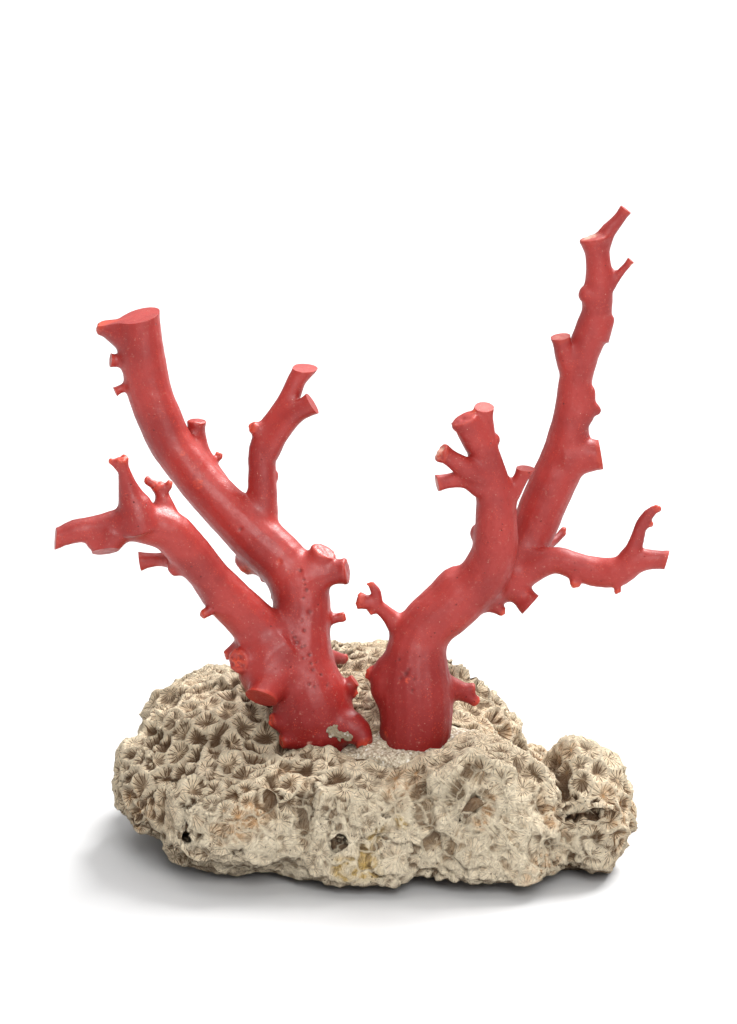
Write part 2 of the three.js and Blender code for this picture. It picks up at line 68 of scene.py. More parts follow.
# A limb: how it ends, its stations from its root to its end, each x, y, z and radius in millimetres, and the
# way its cut faces where that isn't straight along it. "sawn" is cut off flat, "sawn wide" takes what is
# beside it off in the same cut, "rounded" is worn nearly flat, "broken" is a ragged tip, "knob" is a smooth
# one, and "buried" ends inside the rest.
LEFT_CORAL = [
    # Trunk
    ("buried", [(-17, -17, 33, 6), (-18, -17, 42, 9), (-20.5, -16, 49, 13), (-22.5, -15, 57, 14.4),
     (-26.6, -12, 70, 12.6), (-26.8, -8, 82, 10.9), (-26.2, -4, 92, 10.4), (-28.6, -1, 101, 10.5), (-31, 0, 104, 9)]),
    # Tall branch
    ("sawn wide", [(-27, -3, 92, 9.5), (-32.4, 0, 105.2, 9.4), (-41.2, 3, 113.2, 9.8), (-49.6, 5, 121.2, 9.1),
     (-58.8, 7, 130, 8.4), (-67, 9, 139, 7.9), (-74.4, 11, 149, 8), (-79.1, 12, 160, 8.2), (-82.8, 13, 171, 8.1),
     (-84.6, 14, 182, 8.3), (-85.2, 15, 196, 7.2)], (-0.2, -0.15, 0.96)),
    # Slim branch
    ("sawn", [(-42, 5, 112, 5.5), (-41, 6, 123, 5.6), (-41, 7, 131, 5.3), (-41, 8, 139, 5.1), (-41, 9, 147, 4.8),
     (-38.9, 10, 153.5, 4.4), (-34.8, 11, 160, 3.8), (-31, 12, 166, 3.8), (-28.4, 13, 172, 3.5),
     (-25.4, 14, 176.6, 3.5)], (0.1, -0.15, 0.98)),
    # Low branch
    ("sawn", [(-28, -9, 70, 10.5), (-38, -12, 81, 9.8), (-46, -14, 90, 8.7), (-54, -16, 99, 8.1),
     (-60.6, -18, 108.2, 7.4), (-67.2, -20, 117.2, 7.6), (-73.9, -22, 125, 7.6), (-83, -24, 128, 6.8),
     (-92, -25, 128, 5.6), (-100, -26, 127, 4.6), (-107, -27, 126, 4.1),
     (-114, -28, 123.6, 3.1)], (-0.98, -0.15, 0.1)),
    # Knobs, stubs and foot lobes of the trunk
    ("rounded", [(-26.5, -3, 102, 8.6), (-20.5, -3, 108, 5.2), (-18.3, -4, 112.3, 3.9)], (0.5, -0.3, 0.8)),
    ("rounded", [(-24, -4, 102, 8), (-15.5, -5, 104.5, 4.4), (-10, -6, 105.3, 4)], (0.9, -0.35, -0.2)),
    ("broken", [(-22, -6, 87, 3.5), (-15, -6, 87.2, 2), (-11, -6, 88, 1.5)]),
    ("broken", [(-19, -5, 72, 4), (-14, -1, 70.5, 2.6), (-11, 3, 69, 1.8)]),
    ("sawn", [(-16, -13, 60, 5), (-11, -14, 63, 3.2), (-7, -14, 66, 2.2)]),
    ("broken", [(-13, -14, 61, 3), (-6.5, -14, 61.5, 1.6)]),
    ("broken", [(-17, -19, 49, 9), (-10.5, -22, 51, 7.2), (-5.5, -25, 49.5, 5), (-3.5, -27, 46, 2.8)]),
    ("broken", [(-25, -18, 54, 10), (-33, -21, 53, 5.2), (-37.2, -22, 53.4, 2)]),
    ("broken", [(-23, -20, 47.5, 10), (-29.5, -23, 46.5, 4.6), (-33.6, -24.5, 46, 2)]),
    ("buried", [(-32, -14, 80, 10), (-39.6, -17, 73.5, 10.6), (-35, -19, 64, 9.6)]),
    ("buried", [(-43, -14, 84, 7), (-48.3, -15, 80, 6.4)]),
    ("sawn", [(-31, -18, 71, 8), (-37, -24, 68, 6.6), (-41, -30, 64.5, 5.6)], (-0.25, -0.65, -0.72)),
    ("broken", [(-42, -15, 75, 6), (-46.5, -20, 76, 4.6), (-49, -23.4, 76.4, 4)], (-0.6, -0.78, 0.1)),
    ("broken", [(-44, -12, 79, 5.5), (-50, -12, 77, 3.4), (-54, -12, 75, 1.6)]),
    ("sawn", [(-24, 0, 66, 6), (-25, 6, 68, 4.2), (-26, 11, 70, 3.8)]),
    ("sawn", [(-30, 3, 88, 5), (-34, 9, 90, 2.6), (-36, 12, 91, 2.3)]),
    # Horn, stubs and broken ridge of the tall branch
    ("broken", [(-85, 15, 184, 7), (-90, 15, 188, 6), (-95, 15, 190.4, 4.4), (-99.6, 15, 192, 2.6)]),
    ("sawn", [(-86, 14, 179, 3.4), (-92, 13, 179.5, 2.3), (-96, 12, 180, 2.2)]),
    ("sawn", [(-85, 13, 172, 2.8), (-91, 12, 170, 1.7), (-94.5, 11, 168.5, 1.5)]),
    ("rounded", [(-54, 12, 127, 5), (-60, 16, 137, 4), (-63.5, 17, 144, 3.6), (-65.1, 17.5, 151, 3.3),
     (-65, 17.5, 156, 3.1)]),
    ("broken", [(-61, 17, 137, 2), (-59, 18.5, 140, 1.6), (-57, 20, 142.5, 1.5)]),
    ("broken", [(-41, 5, 109, 8), (-47.8, 8, 104.2, 4)]),
    ("broken", [(-36, 3, 107, 6), (-41.2, 7, 101, 2.6)]),
    ("broken", [(-37, 2, 104, 3.2), (-40.4, 4, 98.8, 1.4)]),
    ("sawn", [(-76, 17, 155, 4.6), (-77, 23, 158, 3), (-77, 27, 160, 2.7)]),
    ("sawn", [(-83, 19, 178, 3.6), (-84, 24, 181, 2.3), (-85, 27, 182, 2.1)]),
    # Prongs of the slim branch
    ("sawn", [(-39.5, 8.5, 146, 4.6), (-34.6, 8, 154, 3.8), (-29, 7.5, 160.8, 3.5), (-22.4, 7, 165, 3.5)]),
    ("broken", [(-39, 10, 151.5, 4.5), (-42.4, 9, 154.8, 3), (-44.4, 8, 155.8, 1.8)]),
    ("knob", [(-40, 9, 137.5, 4.3), (-36.8, 9, 137, 2.6)]),
    ("sawn", [(-40, 12, 144, 3.4), (-40, 16, 147, 2), (-40, 18, 148, 1.8)]),
    # Prongs and stubs of the low branch
    ("broken", [(-84, -25, 127, 8.5), (-85.4, -25.5, 134, 6.8), (-87.4, -26, 140.5, 4.1), (-88.8, -27, 147.5, 2.6),
     (-89.8, -28, 153, 2.2)]),
    ("broken", [(-89.5, -27, 148, 1.8), (-94, -28, 152.5, 1)]),
    ("broken", [(-76, -20, 126, 7.5), (-75.5, -19, 132, 4.8), (-76.2, -18, 136.8, 2.6), (-77.8, -18, 140.6, 1.9)]),
    ("broken", [(-76, -18, 137.8, 1.9), (-73, -18, 141.6, 1)]),
    ("broken", [(-77.6, -18, 139.6, 1.7), (-82, -18, 142.8, 1)]),
    ("sawn wide", [(-93.6, -26, 125, 6.2), (-96.4, -28, 118.8, 3.8)], (0.1, -0.5, -0.86)),
    ("knob", [(-96, -26, 125, 5.5), (-101, -28, 121.5, 2.4)]),
    ("buried", [(-82, -23, 128, 6), (-82, -23, 133.5, 4.2)]),
    ("sawn", [(-70, -17, 112.4, 4.4), (-76.5, -13, 111.6, 2.7), (-80, -12, 111.2, 2.6),
     (-85, -11, 110.4, 3.1)], (-1, 0, -0.15)),
    ("knob", [(-68, -19, 113, 5.5), (-72.5, -19, 109.5, 3)]),
    ("broken", [(-55, -18, 98, 3), (-59.5, -22, 95, 1.7), (-62, -23, 94, 1.5)]),
    ("sawn", [(-60, -13, 105, 4), (-62, -8, 104, 2.6), (-63, -5, 103, 2.4)]),
]
RIGHT_CORAL = [
    # Trunk
    ("buried", [(15, -19, 33, 10), (15, -20, 45, 12.6), (15.5, -19, 56, 13.6), (15, -17, 65, 13.6), (15, -15, 73, 12),
     (16, -13, 80, 10.6), (20, -12, 87, 10.1), (27, -11, 93, 10.4), (33, -10, 99, 10.4), (36, -10, 102, 8.6)]),
    # Short branch
    ("sawn", [(30, -11, 96, 9), (39, -12, 104, 9), (43.5, -14, 114, 8.4), (44, -15, 123, 7.9), (44, -15, 132, 7.4),
     (42.5, -15, 141, 6.6), (40.6, -16, 149, 5.5), (38.8, -16, 157, 5), (38.6, -16, 164, 4.4),
     (39.6, -17, 169.4, 2.9)], (0.05, -0.3, 0.95)),
    # Tall branch
    ("rounded", [(34, -7, 95, 6.5), (41, -4, 98, 7.8), (49, -1, 104, 8), (55, 3, 111, 7.6), (58.5, 5, 118, 8.2),
     (61.5, 6, 126, 8.7), (65.5, 7, 135, 8.8), (69, 8, 144, 8.2), (71, 8, 153, 7.4), (72, 8, 162, 6.6),
     (73, 8, 172, 6), (75, 8, 181, 6.1), (78, 8, 190, 6), (80.5, 8, 199, 5.4), (81, 8, 207, 5.2), (81, 8, 215, 4.7),
     (80.4, 8, 221, 4.4), (79.4, 8, 226, 4.8)], (0.12, -0.2, 0.97)),
    # Side branch
    ("sawn", [(44, -5, 99, 6.8), (53, -4, 103.5, 6), (61, -5, 108, 5.5), (67, -6, 109.5, 5.1), (74, -8, 107.6, 5.1),
     (82, -10, 105.8, 5.5), (89, -12, 107, 5.4), (94, -13, 110.5, 4.5), (99, -14, 112, 3.8),
     (106, -15, 112, 3.1)], (0.95, -0.1, -0.25)),
    # Forked prong, knobs and stubs of the trunk
    ("broken", [(13, -12, 81, 7), (8, -12, 87.5, 3.8), (4.3, -13, 91.5, 2.6), (0.3, -14, 95, 2.5),
     (-5.4, -14, 96.3, 2.8)]),
    ("broken", [(1, -14, 96, 2.2), (0.5, -14, 100, 1.8), (-1.5, -14, 103, 1)]),
    ("broken", [(2, -14, 94, 2.2), (-1.5, -14, 92.8, 1.5)]),
    ("broken", [(7, -14, 65, 7), (1, -15, 68, 3.6), (-2, -15, 69.5, 2)]),
    ("rounded", [(24, -13, 63, 6.5), (30, -12, 62, 4), (33, -12, 61.5, 3.2), (37, -12, 62, 2)]),
    ("broken", [(31, -12, 61, 3), (35, -13, 59, 2.2), (37.5, -13, 57.5, 1.6)]),
    ("buried", [(9, -22, 48, 8.4), (4.4, -25, 46.5, 4.6)]),
    ("buried", [(12, -16, 73, 8), (6.5, -16, 67, 8.4), (9, -17, 60, 8)]),
    ("sawn", [(14, -5, 66, 6), (13, 1, 68, 4), (12, 5, 69, 3.6)]),
    ("sawn", [(21, -4, 87, 5), (21.5, 1, 90, 2.6), (22, 4, 91, 2.4)]),
    ("sawn", [(47, -5, 102, 7), (52, -6, 98.4, 5), (54.4, -7, 95.9, 4.2),
     (57.2, -9, 93.4, 3.9)], (0.75, -0.2, -0.65)),
    ("broken", [(42, -9, 95, 4.6), (47, -9, 90.5, 1.4)]),
    # Prongs of the short branch
    ("rounded", [(39, -17, 154, 5.4), (35, -18, 160, 4.9), (32.2, -19, 165.4, 4.3)]),
    ("broken", [(39, -18, 143.4, 5), (33, -21, 147.6, 4), (28, -22, 151.4, 3.2), (24, -23, 154, 3.1)]),
    ("sawn", [(39, -18, 140, 4.6), (33, -19, 143, 3.1), (28, -20, 143.2, 2.6), (22.5, -21, 142.3, 2.5)]),
    ("sawn", [(46, -14, 133, 5), (50, -14, 137.5, 3.2), (52, -14, 141, 2.8), (54.5, -14, 146, 2.7)], (0.1, -0.1, 1)),
    ("knob", [(41, -12, 121, 6), (38, -9, 120.5, 3.8)]),
    ("knob", [(41, -15, 156, 4.2), (43.6, -14, 157, 2.3)]),
    ("sawn", [(46, -10, 126, 4.5), (48, -5, 127, 2.6), (49, -3, 128, 2.2)]),
    # Twigs, stubs and bumps of the tall branch
    ("sawn", [(80, 8, 218, 4.2), (83.2, 9, 226.4, 3.2), (87.2, 9, 231.8, 2.3), (90.5, 9, 236.3, 2)]),
    ("sawn", [(82, 8, 206, 3.8), (86.5, 7, 210.5, 1.9), (89.2, 7, 214, 1.5), (92.6, 7, 218, 1.5)]),
    ("knob", [(83, 8, 211, 3), (86.5, 8, 213.5, 1.3)]),
    ("sawn", [(72, 8, 178, 5), (69, 5.5, 184, 3.6), (68, 4.5, 187, 3.1), (67.5, 4, 190.5, 3)]),
    ("knob", [(79, 7, 205, 4.8), (76, 6, 206, 3.2)]),
    ("buried", [(80, 8, 191, 6.2), (83.6, 8, 196, 3.8), (85.2, 8, 198, 2.2)]),
    ("knob", [(74, 7, 162, 6), (77.2, 6.5, 167, 3.6), (78.6, 6, 170.6, 1.6)]),
    ("knob", [(74, 7, 160, 6), (79, 6, 163, 3.6), (81.6, 5.5, 162.5, 1.6)]),
    ("sawn", [(71, 7, 145, 8.4), (77, 5.5, 145.5, 6.2), (80, 5, 146, 5.5), (82.8, 4.5, 146.4, 5.4)], (1, 0, 0.17)),
    ("broken", [(62, 9, 111, 4), (67, 14, 111.5, 1.8), (70.5, 18, 114, 1.4)]),
    ("sawn", [(71, 14, 150, 5), (72, 19, 153, 3.2), (72.5, 22, 154, 2.9)]),
    ("sawn", [(76, 12, 183, 4), (76, 16, 187, 2.4), (76, 19, 189, 2.1)]),
    ("sawn", [(63, 12, 127, 4.5), (61, 18, 129, 2.7), (60, 21, 130, 2.4)]),
    # Prong and spikes of the side branch
    ("broken", [(92, -12, 110, 4.6), (94, -14, 116, 3), (95.2, -14, 120, 2.6), (96.6, -14, 125, 2.3),
     (99.2, -14, 129, 2), (102.4, -14, 131.6, 1.3)]),
    ("broken", [(97, -14, 125, 2.2), (100, -14, 125.5, 1.1)]),
    ("broken", [(86.5, -12, 106, 3.6), (88, -14, 102.5, 1.6), (88.5, -15, 100, 1)]),
    ("broken", [(74, -9, 106, 3.2), (73, -12, 101.5, 1.5)]),
    ("sawn", [(79, -7, 106, 3.8), (80, -3, 106, 2.2), (81, -1, 105, 2)]),
]

# Ends that flare a little, up to what radius, and by what share of it.
FLARED = ("sawn", "broken", "rounded")
THIN_END = 5 * MM
FLARE = 0.2
# How far a limb goes on past a straight cut, and what a cut reaches: a share of the radius and a bit more.
SAW_SPARE = 1.6 * MM
SAW_REACH = {"sawn": (1.35, 0.8 * MM), "sawn wide": (2.5, 0)}
# The shape of tips: how far past the end each ring is, as a share of the radius, and how wide it is as a share
# of the ring before.
TIPS = {
    "broken": ((0.15, 0.97), (0.3, 0.72), (0.32, 0.4)),
    "rounded": ((0.06, 0.8),),
    "knob": ((0.3, 0.9), (0.52, 0.7), (0.62, 0.4)),
}

# The smear of cement on the left foot: blobs that run together, each a middle and a radius.
SMEAR = [((-15.2, -29.3, 51.2), 2.6), ((-12.4, -29.2, 49.8), 2.2), ((-9.6, -28.4, 49.4), 2.0)]

# Marks on a coral's surface, by kind: the middle and the radius of each, in millimetres.
LEFT_MARKS = {
    "spot": [(-64.1, 0.4, 136.8, 2.4), (-69.9, 3.3, 147.4, 1.3), (-47, 2, 103, 3.5), (-49, -23.6, 76.4, 2.4),
        (-6, -26, 47, 2.5)],
    "pit": [(-48.8, -4.5, 120.8, 1.0), (-26.6, -9, 105.8, 1.0), (-24.7, -11.1, 99.6, 0.9), (-23.3, -14, 92.1, 1.1),
        (-25.4, -17.7, 86.4, 0.9), (-27.9, -19.9, 82.5, 1.3), (-28.9, -19.6, 84.3, 1.0), (-23.6, -20.9, 77.9, 0.9),
        (-22.1, -22.6, 72.7, 1.0), (-23.9, -24.9, 68.1, 0.8), (-48.5, -24.6, 78, 1.1), (-50.8, -23, 75.2, 1.0),
        (-47.2, -24.6, 75, 0.9), (-51, -22.6, 77.6, 0.8), (-25.6, -11, 103.4, 0.7), (-25.2, -12, 101.6, 0.6),
        (-25.6, -13, 97, 0.7), (-26.4, -16, 89.4, 0.8), (-27, -19, 79.6, 0.8), (-25.2, -20, 80.8, 0.7),
        (-26.4, -21, 76.4, 0.7), (-22.8, -22, 75, 0.8), (-20.6, -22, 75.6, 0.6), (-19.4, -22.5, 70.6, 0.8),
        (-21.6, -24, 66.4, 0.7), (-17.6, -23.5, 66.8, 0.6), (-29.6, -20, 86.6, 0.6)],
    "chip": [(-34.6, -8.5, 109.4, 1.3)],
    "scar": [(-23, -26.9, 46.2, 1.3)],
}
RIGHT_MARKS = {
    "spot": [(30.3, -19, 161, 3.0), (35, -18, 167, 2.0), (12.5, -27, 70, 1.1), (3, -27, 49, 1.6)],
    "pit": [(11.6, -26.7, 72.5, 1.4), (9.4, -23.7, 76.9, 0.9), (13.7, -29.8, 67.4, 0.8), (30.3, -19, 161, 1.6),
        (12.5, -27, 74, 0.8), (10.5, -26, 70.5, 0.9), (14.5, -28, 71, 0.7)],
    "scar": [(75.8, 7.5, 207, 1.0), (22.5, -21.5, 141.5, 3.4), (24, -23, 154, 3.4), (78, 8, 226, 4.0),
        (39.6, -17, 170, 2.6), (67.5, 4, 190.5, 2.4), (92, 7, 217, 1.6)],
}

# What a kind of mark tints: which tint, how strongly, how far as a share of its radius, and how much at most.
TINTS = {
    "spot": [("orange", 2.2, 1.15, 1)],
    "scar": [("pale", 2, 1, 1)],
    "chip": [("orange", 1, 1.5, 1), ("pale", 1, 0.6, 1)],
    "pit": [("dark", 1.4, 1, 0.75)],
}
# What both of the coral's materials share.
WAX = {"IOR": 1.5, "Subsurface_Radius": (1, 0.25, 0.15), "Subsurface_Scale": 1.0 * MM}

# Where the stone's surface changes, by kind: the middle and the reach of each place, in millimetres.
STONE_AREAS = {
    "worn": [(36, -58, 24, 38), (56, -58, 18, 28), (4, -56, 18, 30), (-16, -54, 28, 18), (-40, -58, 14, 28),
        (-64, -50, 24, 16), (-20, 62, 20, 26)],
    "rust": [(86, -42, 20, 20), (64, -52, 26, 10), (70, -30, 42, 12), (40, -60, 32, 8), (-88, -32, 22, 16),
        (-50, -52, 26, 14), (-30, -48, 40, 10), (60, -58, 8, 12), (10, -50, 42, 10), (70, 30, 20, 22),
        (-60, 50, 30, 24), (10, 66, 24, 20), (56, 8, 50, 14)],
    "yellow": [(-5.5, -57, 14, 9), (-2, -58, 8, 8), (3.5, -57, 10, 5), (5, -55.6, 27, 4.5), (1, -57.5, 21, 4)],
    "brown": [(-55, 5, 55, 42), (-20, 10, 60, 40), (40, 20, 52, 32), (-35, -30, 46, 20), (78, -34, 40, 10),
        (0, 50, 50, 30), (60, 0, 48, 34)],
    "open": [(-52, -14, 54, 22), (-34, -30, 46, 14), (-26, 4, 58, 20), (42, 26, 50, 22), (-30, 52, 50, 24),
        (-62, -22, 46, 12), (-26, -54, 30, 9), (-66, -50, 26, 9), (64, -4, 46, 16)],
}

# Where fine ribs fan out on the worn front: their middle and their reach in millimetres.
STONE_FANS = [
    ((34.9, -56, 33), 32), ((-12, -49, 41), 26), ((-38, -50, 44), 27), ((-66, -38, 46), 25), ((60, -52, -8), 26),
    ((-40, -40, 72), 62), ((20, -40, 76), 62), ((82, -40, 62), 52),
]

# Lines drawn on the stone: its height in millimetres (below 0 for a groove), its half width, and its points.
STONE_LINES = [
    (2.2, 2.2, [(23.5, -59.4, 25.4), (22.8, -55.9, 32.4), (24.6, -54.2, 39), (28.9, -51.6, 44.9),
     (34.4, -45.1, 48.7)]),  # left rim of the front boss
    (-3.2, 2.4, [(28, -56, 37), (28.5, -55.2, 38.6), (32.1, -53.2, 43.2), (35, -48.6, 46.5)]),
    (1.4, 1.8, [(38, -43.6, 49.3), (39.3, -48.4, 46.4), (45, -48.6, 45), (49, -49.3, 43.7), (50, -51, 40)]),
    (1.6, 3, [(54, -38.8, 46.5), (60, -38, 41), (64, -44, 35.3), (65, -49, 28.7), (64.5, -53, 21.2)]),
    (-2.6, 3.4, [(32, -55.5, 36), (36, -55.8, 36.5), (39, -56, 34)]),  # bowl round the hole
    (-3, 1.5, [(67.8, -40.4, 34.9), (67.2, -45.4, 30.9), (67.4, -50, 26.5), (67.6, -52, 20)]),
    (1.8, 2, [(9, -47, 36.5), (11.4, -48.9, 34.9), (13.5, -54.1, 29.5), (16.4, -57, 23.8)]),
    (-3.2, 3, [(15.7, -49, 38), (16.5, -51.8, 35.1), (18, -55.1, 28.7), (20.3, -59.1, 21.5)]),
    (-3, 2.6, [(7.5, -54, 31), (4, -55.5, 30.5)]), (-2.4, 1.6, [(5, -55.6, 27), (3.9, -56.5, 24.3),
     (0.7, -57.6, 21.3), (-4.3, -57.7, 19.5), (-8.6, -57.3, 11.7)]),
    (2, 2.6, [(-19.3, -52, 36), (-18.7, -44.3, 41.6), (-13.7, -40, 42), (-7.9, -40.3, 40.9),
     (-2.9, -45.4, 39.3)]),  # rim of the block left of it
    (1.8, 2.4, [(-19.3, -53.6, 35.8), (-20, -56.7, 29.3), (-22, -58.7, 22.1), (-25.5, -53.2, 10.2)]),
    (-3.4, 2.8, [(-24.5, -54.5, 34), (-24.6, -57.7, 27), (-26, -58, 23)]),
    (2, 2.4, [(-66.6, -34.6, 40.1), (-61.2, -31.5, 44), (-57.4, -29.1, 44.7), (-52.8, -33.4, 43.5),
     (-46.8, -30.7, 43.7), (-42.1, -28.4, 43.7), (-35.3, -37, 44.4), (-26.6, -40, 43.8)]),  # ledge on the left
    (2.4, 3.4, [(-73, -42, 36), (-68, -44, 37.5), (-62, -43.5, 39)]),
    (3.4, 5, [(-38, -61, 8), (-25, -62, 8), (0, -62, 8), (30, -62, 9)]), (3, 4, [(30, -62, 9), (55, -60, 9)]),
    (3.4, 5, [(-57, 10, 59), (-50, 10, 61)]), (6.5, 4.5, [(-84, 2, 52), (-87, 1, 47)]),
    (1.6, 5, [(-90, -2, 42), (-92, -4, 36)]), (-1.8, 4, [(-79, 4, 53), (-70, 6, 57)]),
    (-1.6, 4, [(-90, -28, 20), (-86, -34, 14)]),
    (1.2, 7, [(-92, -6, 30), (-91, 0, 20)]),
    (5.8, 7, [(34, 30, 50), (48, 26, 44), (54, 22, 41)]), (3.6, 5, [(73, -24, 44), (82, -28, 42), (88, -30, 38)]),
    (-2.2, 4, [(88, -30, 41), (91, -30, 36)]), (2, 4, [(95, -30, 22), (95, -30, 16)]),
    (-1.4, 5, [(92, -34, 10), (88, -38, 5)]), (3.4, 5, [(56, -60, 9), (70, -56, 8), (80, -50, 9)]),
    (-3.4, 4, [(-73, -47, 9), (-67, -51, 7.5), (-60, -54, 6)]),
    (-2, 1.6, [(-68, -47, 33.5), (-62, -46, 36), (-58, -43.5, 39.5)]),
    (-3, 2.4, [(-37, -51, 39.9), (-31.5, -51.5, 39.9)]), (-3, 2, [(-36.5, -56.6, 35.7), (-35.5, -57, 34)]),
    (1.4, 1.8, [(-31, -57, 30), (-29, -59, 24), (-29, -57, 16), (-31, -54, 10)]),
]
# Holes in the stone: their middle, radius and depth, and how ragged they are.
STONE_HOLES = [
    ((34.9, -57, 33.2), 2.3, 8, 0.1), ((-70.5, -52.3, 31.1), 2, 3, 1), ((-66.9, -51.4, 33.1), 1.8, 3, 1),
    ((-24.6, -55.9, 31.7), 1.8, 3, 1), ((-68, -54.1, 22.7), 2, 3, 1), ((-63.2, -57.1, 22.7), 2.2, 2.4, 1),
    ((-47.8, -62.1, 16.6), 2, 3, 1), ((-51.4, -61, 14.6), 1.6, 2, 1), ((-90.4, -21.7, 31.4), 2, 2.4, 1),
    ((-14, -57.3, 15.5), 2.4, 3, 1), ((-36, -56.6, 35.7), 1.8, 3, 1), ((5.7, -54.7, 29.7), 2, 3, 1),
    ((71, -44, 31), 1.8, 3, 1), ((80, -47, 33), 1.6, 2, 1), ((-75, -30, 36), 1.8, 2, 1),
    ((69.5, -46, 25.6), 1.5, 3, 0.6), ((72.5, -46.4, 25.3), 1.5, 3.4, 0.6), ((75.5, -46.4, 25.2), 1.5, 3.4, 0.6),
    ((78.5, -46, 25.5), 1.5, 3.4, 0.6), ((81.5, -45.4, 25.8), 1.4, 3, 0.6), ((-20, 62, 30), 2.2, 4, 1),
    ((25, 60, 28), 2, 3, 1), ((-88, 20, 28), 2, 3, 1),
]
# Where the lip along the stone's front comes back to the ground: at its back, its left and its right.
LIP_BACK, LIP_LEFT, LIP_RIGHT = -34, -60, 92

SEEDS = {"left coral": 21, "right coral": 37, "cement": 3, "stone": 7, "cups": 5, "cup depths": 11}
AREA_EDGE = 2.2  # how firmly an area of the stone ends: above 1 it is full before its middle
FEET = [((-19, -17, 44), 14), ((16, -21, 44), 26)]  # where the stone has hardly any cups, a middle and a reach
FOCAL_LENGTH = 125.2  # in millimetres, for a sensor 36 mm high
CORNERS_TRIED = 30000  # of the stone's skin, as the middle of a cup
AIM = Vector((-2, 0, 126)) * MM  # what the camera looks at


def srgb(red, green, blue):
    """A colour typed as on a screen, 0 to 255, as the linear values that Blender works in."""
    return tuple((c / 255 / 12.92) if c <= 10 else ((c / 255 + 0.055) / 1.055) ** 2.4 for c in (red, green, blue))


def colour(name, description, value):
    """A colour among the settings."""
    return FloatVectorProperty(name=name, description=description, default=value, size=3, subtype="COLOR",
                               min=0, max=1)


def length(name, description, millimetres):
    """A length among the settings."""
    return FloatProperty(name=name, description=description, default=millimetres * MM, min=0, unit="LENGTH",
                         precision=5)


class RedCoralSettings(bpy.types.PropertyGroup):
    """Sizes and colours of the red corals."""
    skin: length("Skin", "Size of a face of the coral's skin", 0.59)
    ring_gap: length("Ring gap", "Distance between the rings that a limb is first built of", 2.5)
    ring_sides: IntProperty(name="Ring sides", description="Corners of each such ring", default=18, min=6)
    fork_fill: IntProperty(name="Fork fill", description="How many times the forks' inner corners are filled",
                           default=200, min=0)
    swell: length("Swelling", "Height of the limbs' broad unevenness", 0.45)
    swell_width: length("Swelling width", "Width of that unevenness", 13)
    ripple: length("Ripple", "Height of the smaller unevenness", 0.16)
    ripple_width: length("Ripple width", "Width of the smaller unevenness", 4)
    tear: length("Tear", "Roughness of a broken tip", 1.0)
    roughness: FloatProperty(name="Roughness", description="Roughness of the waxy polish", default=0.4,
                             min=0, max=1, subtype="FACTOR")
    red: colour("Red", "Main colour", srgb(154, 43, 37))
    # Deep red is the coral's own darker bands, and also the painted shade towards the feet.
    deep_red: colour("Deep red", "Colour of the darker bands", srgb(118, 20, 19))
    # Orange is the own colour of tips and spots, and also the painted glow along sawn and worn rims.
    orange: colour("Orange", "Colour of tips, rims and spots", srgb(190, 66, 42))
    cut_face: colour("Cut face", "Colour of a sawn face", srgb(140, 40, 36))
    pale: colour("Pale", "Colour of worn places and specks", srgb(226, 188, 166))
    pit: colour("Pit", "Colour inside a pit", srgb(88, 20, 19))


class StonyCoralSettings(bpy.types.PropertyGroup):
    """Sizes and colours of the stone."""
    skin: length("Skin", "Size of a face of the stone's skin", 0.88)
    cup_gap: length("Cup gap", "Least distance between the middles of two cups", 6.2)
    cup_depth: length("Cup depth", "Depth of a cup below its wall", 2.3)
    wall: length("Wall", "Half the width of a cup's sloping wall", 3.0)
    swell: length("Swelling", "How far the skin is let out before it is carved", 1.1)
    lump: length("Lump", "Height of the stone's unevenness", 1.3)
    lump_width: length("Lump width", "Width of that unevenness", 12)
    web: length("Web", "Height of the sharp web of ridges on the worn front", 0.9)
    web_width: length("Web width", "Width of the web's meshes", 7)
    crack: length("Crack", "Depth of the winding cracks", 1.5)
    grit: length("Grit", "Height of the small roughness", 0.5)
    ribs: IntProperty(name="Ribs", description="Ribs that reach the middle of each cup", default=14, min=6)
    rib_height: length("Rib height", "Height of a rib", 0.9)
    crest: colour("Crest", "Colour of the cups' walls", srgb(248, 227, 194))
    # The hollow colour is partly dirt and partly painted shade down in the cups.
    hollow: colour("Hollow", "Colour down in the cups", srgb(176, 144, 106))
    brown: colour("Brown", "Colour of the weathered top", srgb(220, 193, 156))
    worn: colour("Worn", "Colour of the worn front", srgb(254, 238, 208))
    rust: colour("Rust", "Colour of the rusty stains", srgb(206, 150, 92))
    yellow: colour("Yellow", "Colour of the glassy yellow patches", srgb(222, 186, 110))
    shade: colour("Shade", "Colour deep in the holes", srgb(46, 33, 22))
    # This colour is both the dirt in pores and dust and the painted shade between ribs, in hollows, crevices, holes
    # and cracks and under the stone.
    dirt_and_shade: colour("Dirt", "Colour of the dirt in the pores", srgb(100, 72, 48))


class CementSettings(bpy.types.PropertyGroup):
    """Sizes and colours of the cement."""
    skin: length("Skin", "Size of a face of the cement's skin", 0.6)
    grain: length("Grain", "Height of the grains", 0.6)
    heap: length("Heap", "Height of the bed's unevenness", 1.7)
    spread: length("Spread", "How far the bed runs out over the stone", 1.5)
    grain_width: length("Grain width", "Width of the grains", 2.2)
    grey: colour("Grey", "Colour of the cement", srgb(214, 202, 180))
    dark: colour("Dark", "Colour between its grains", srgb(140, 122, 98))
    spark: colour("Spark", "Colour of its bright grains", srgb(246, 242, 234))
    smear: colour("Smear", "Colour of the smear on the left foot", srgb(134, 124, 104))


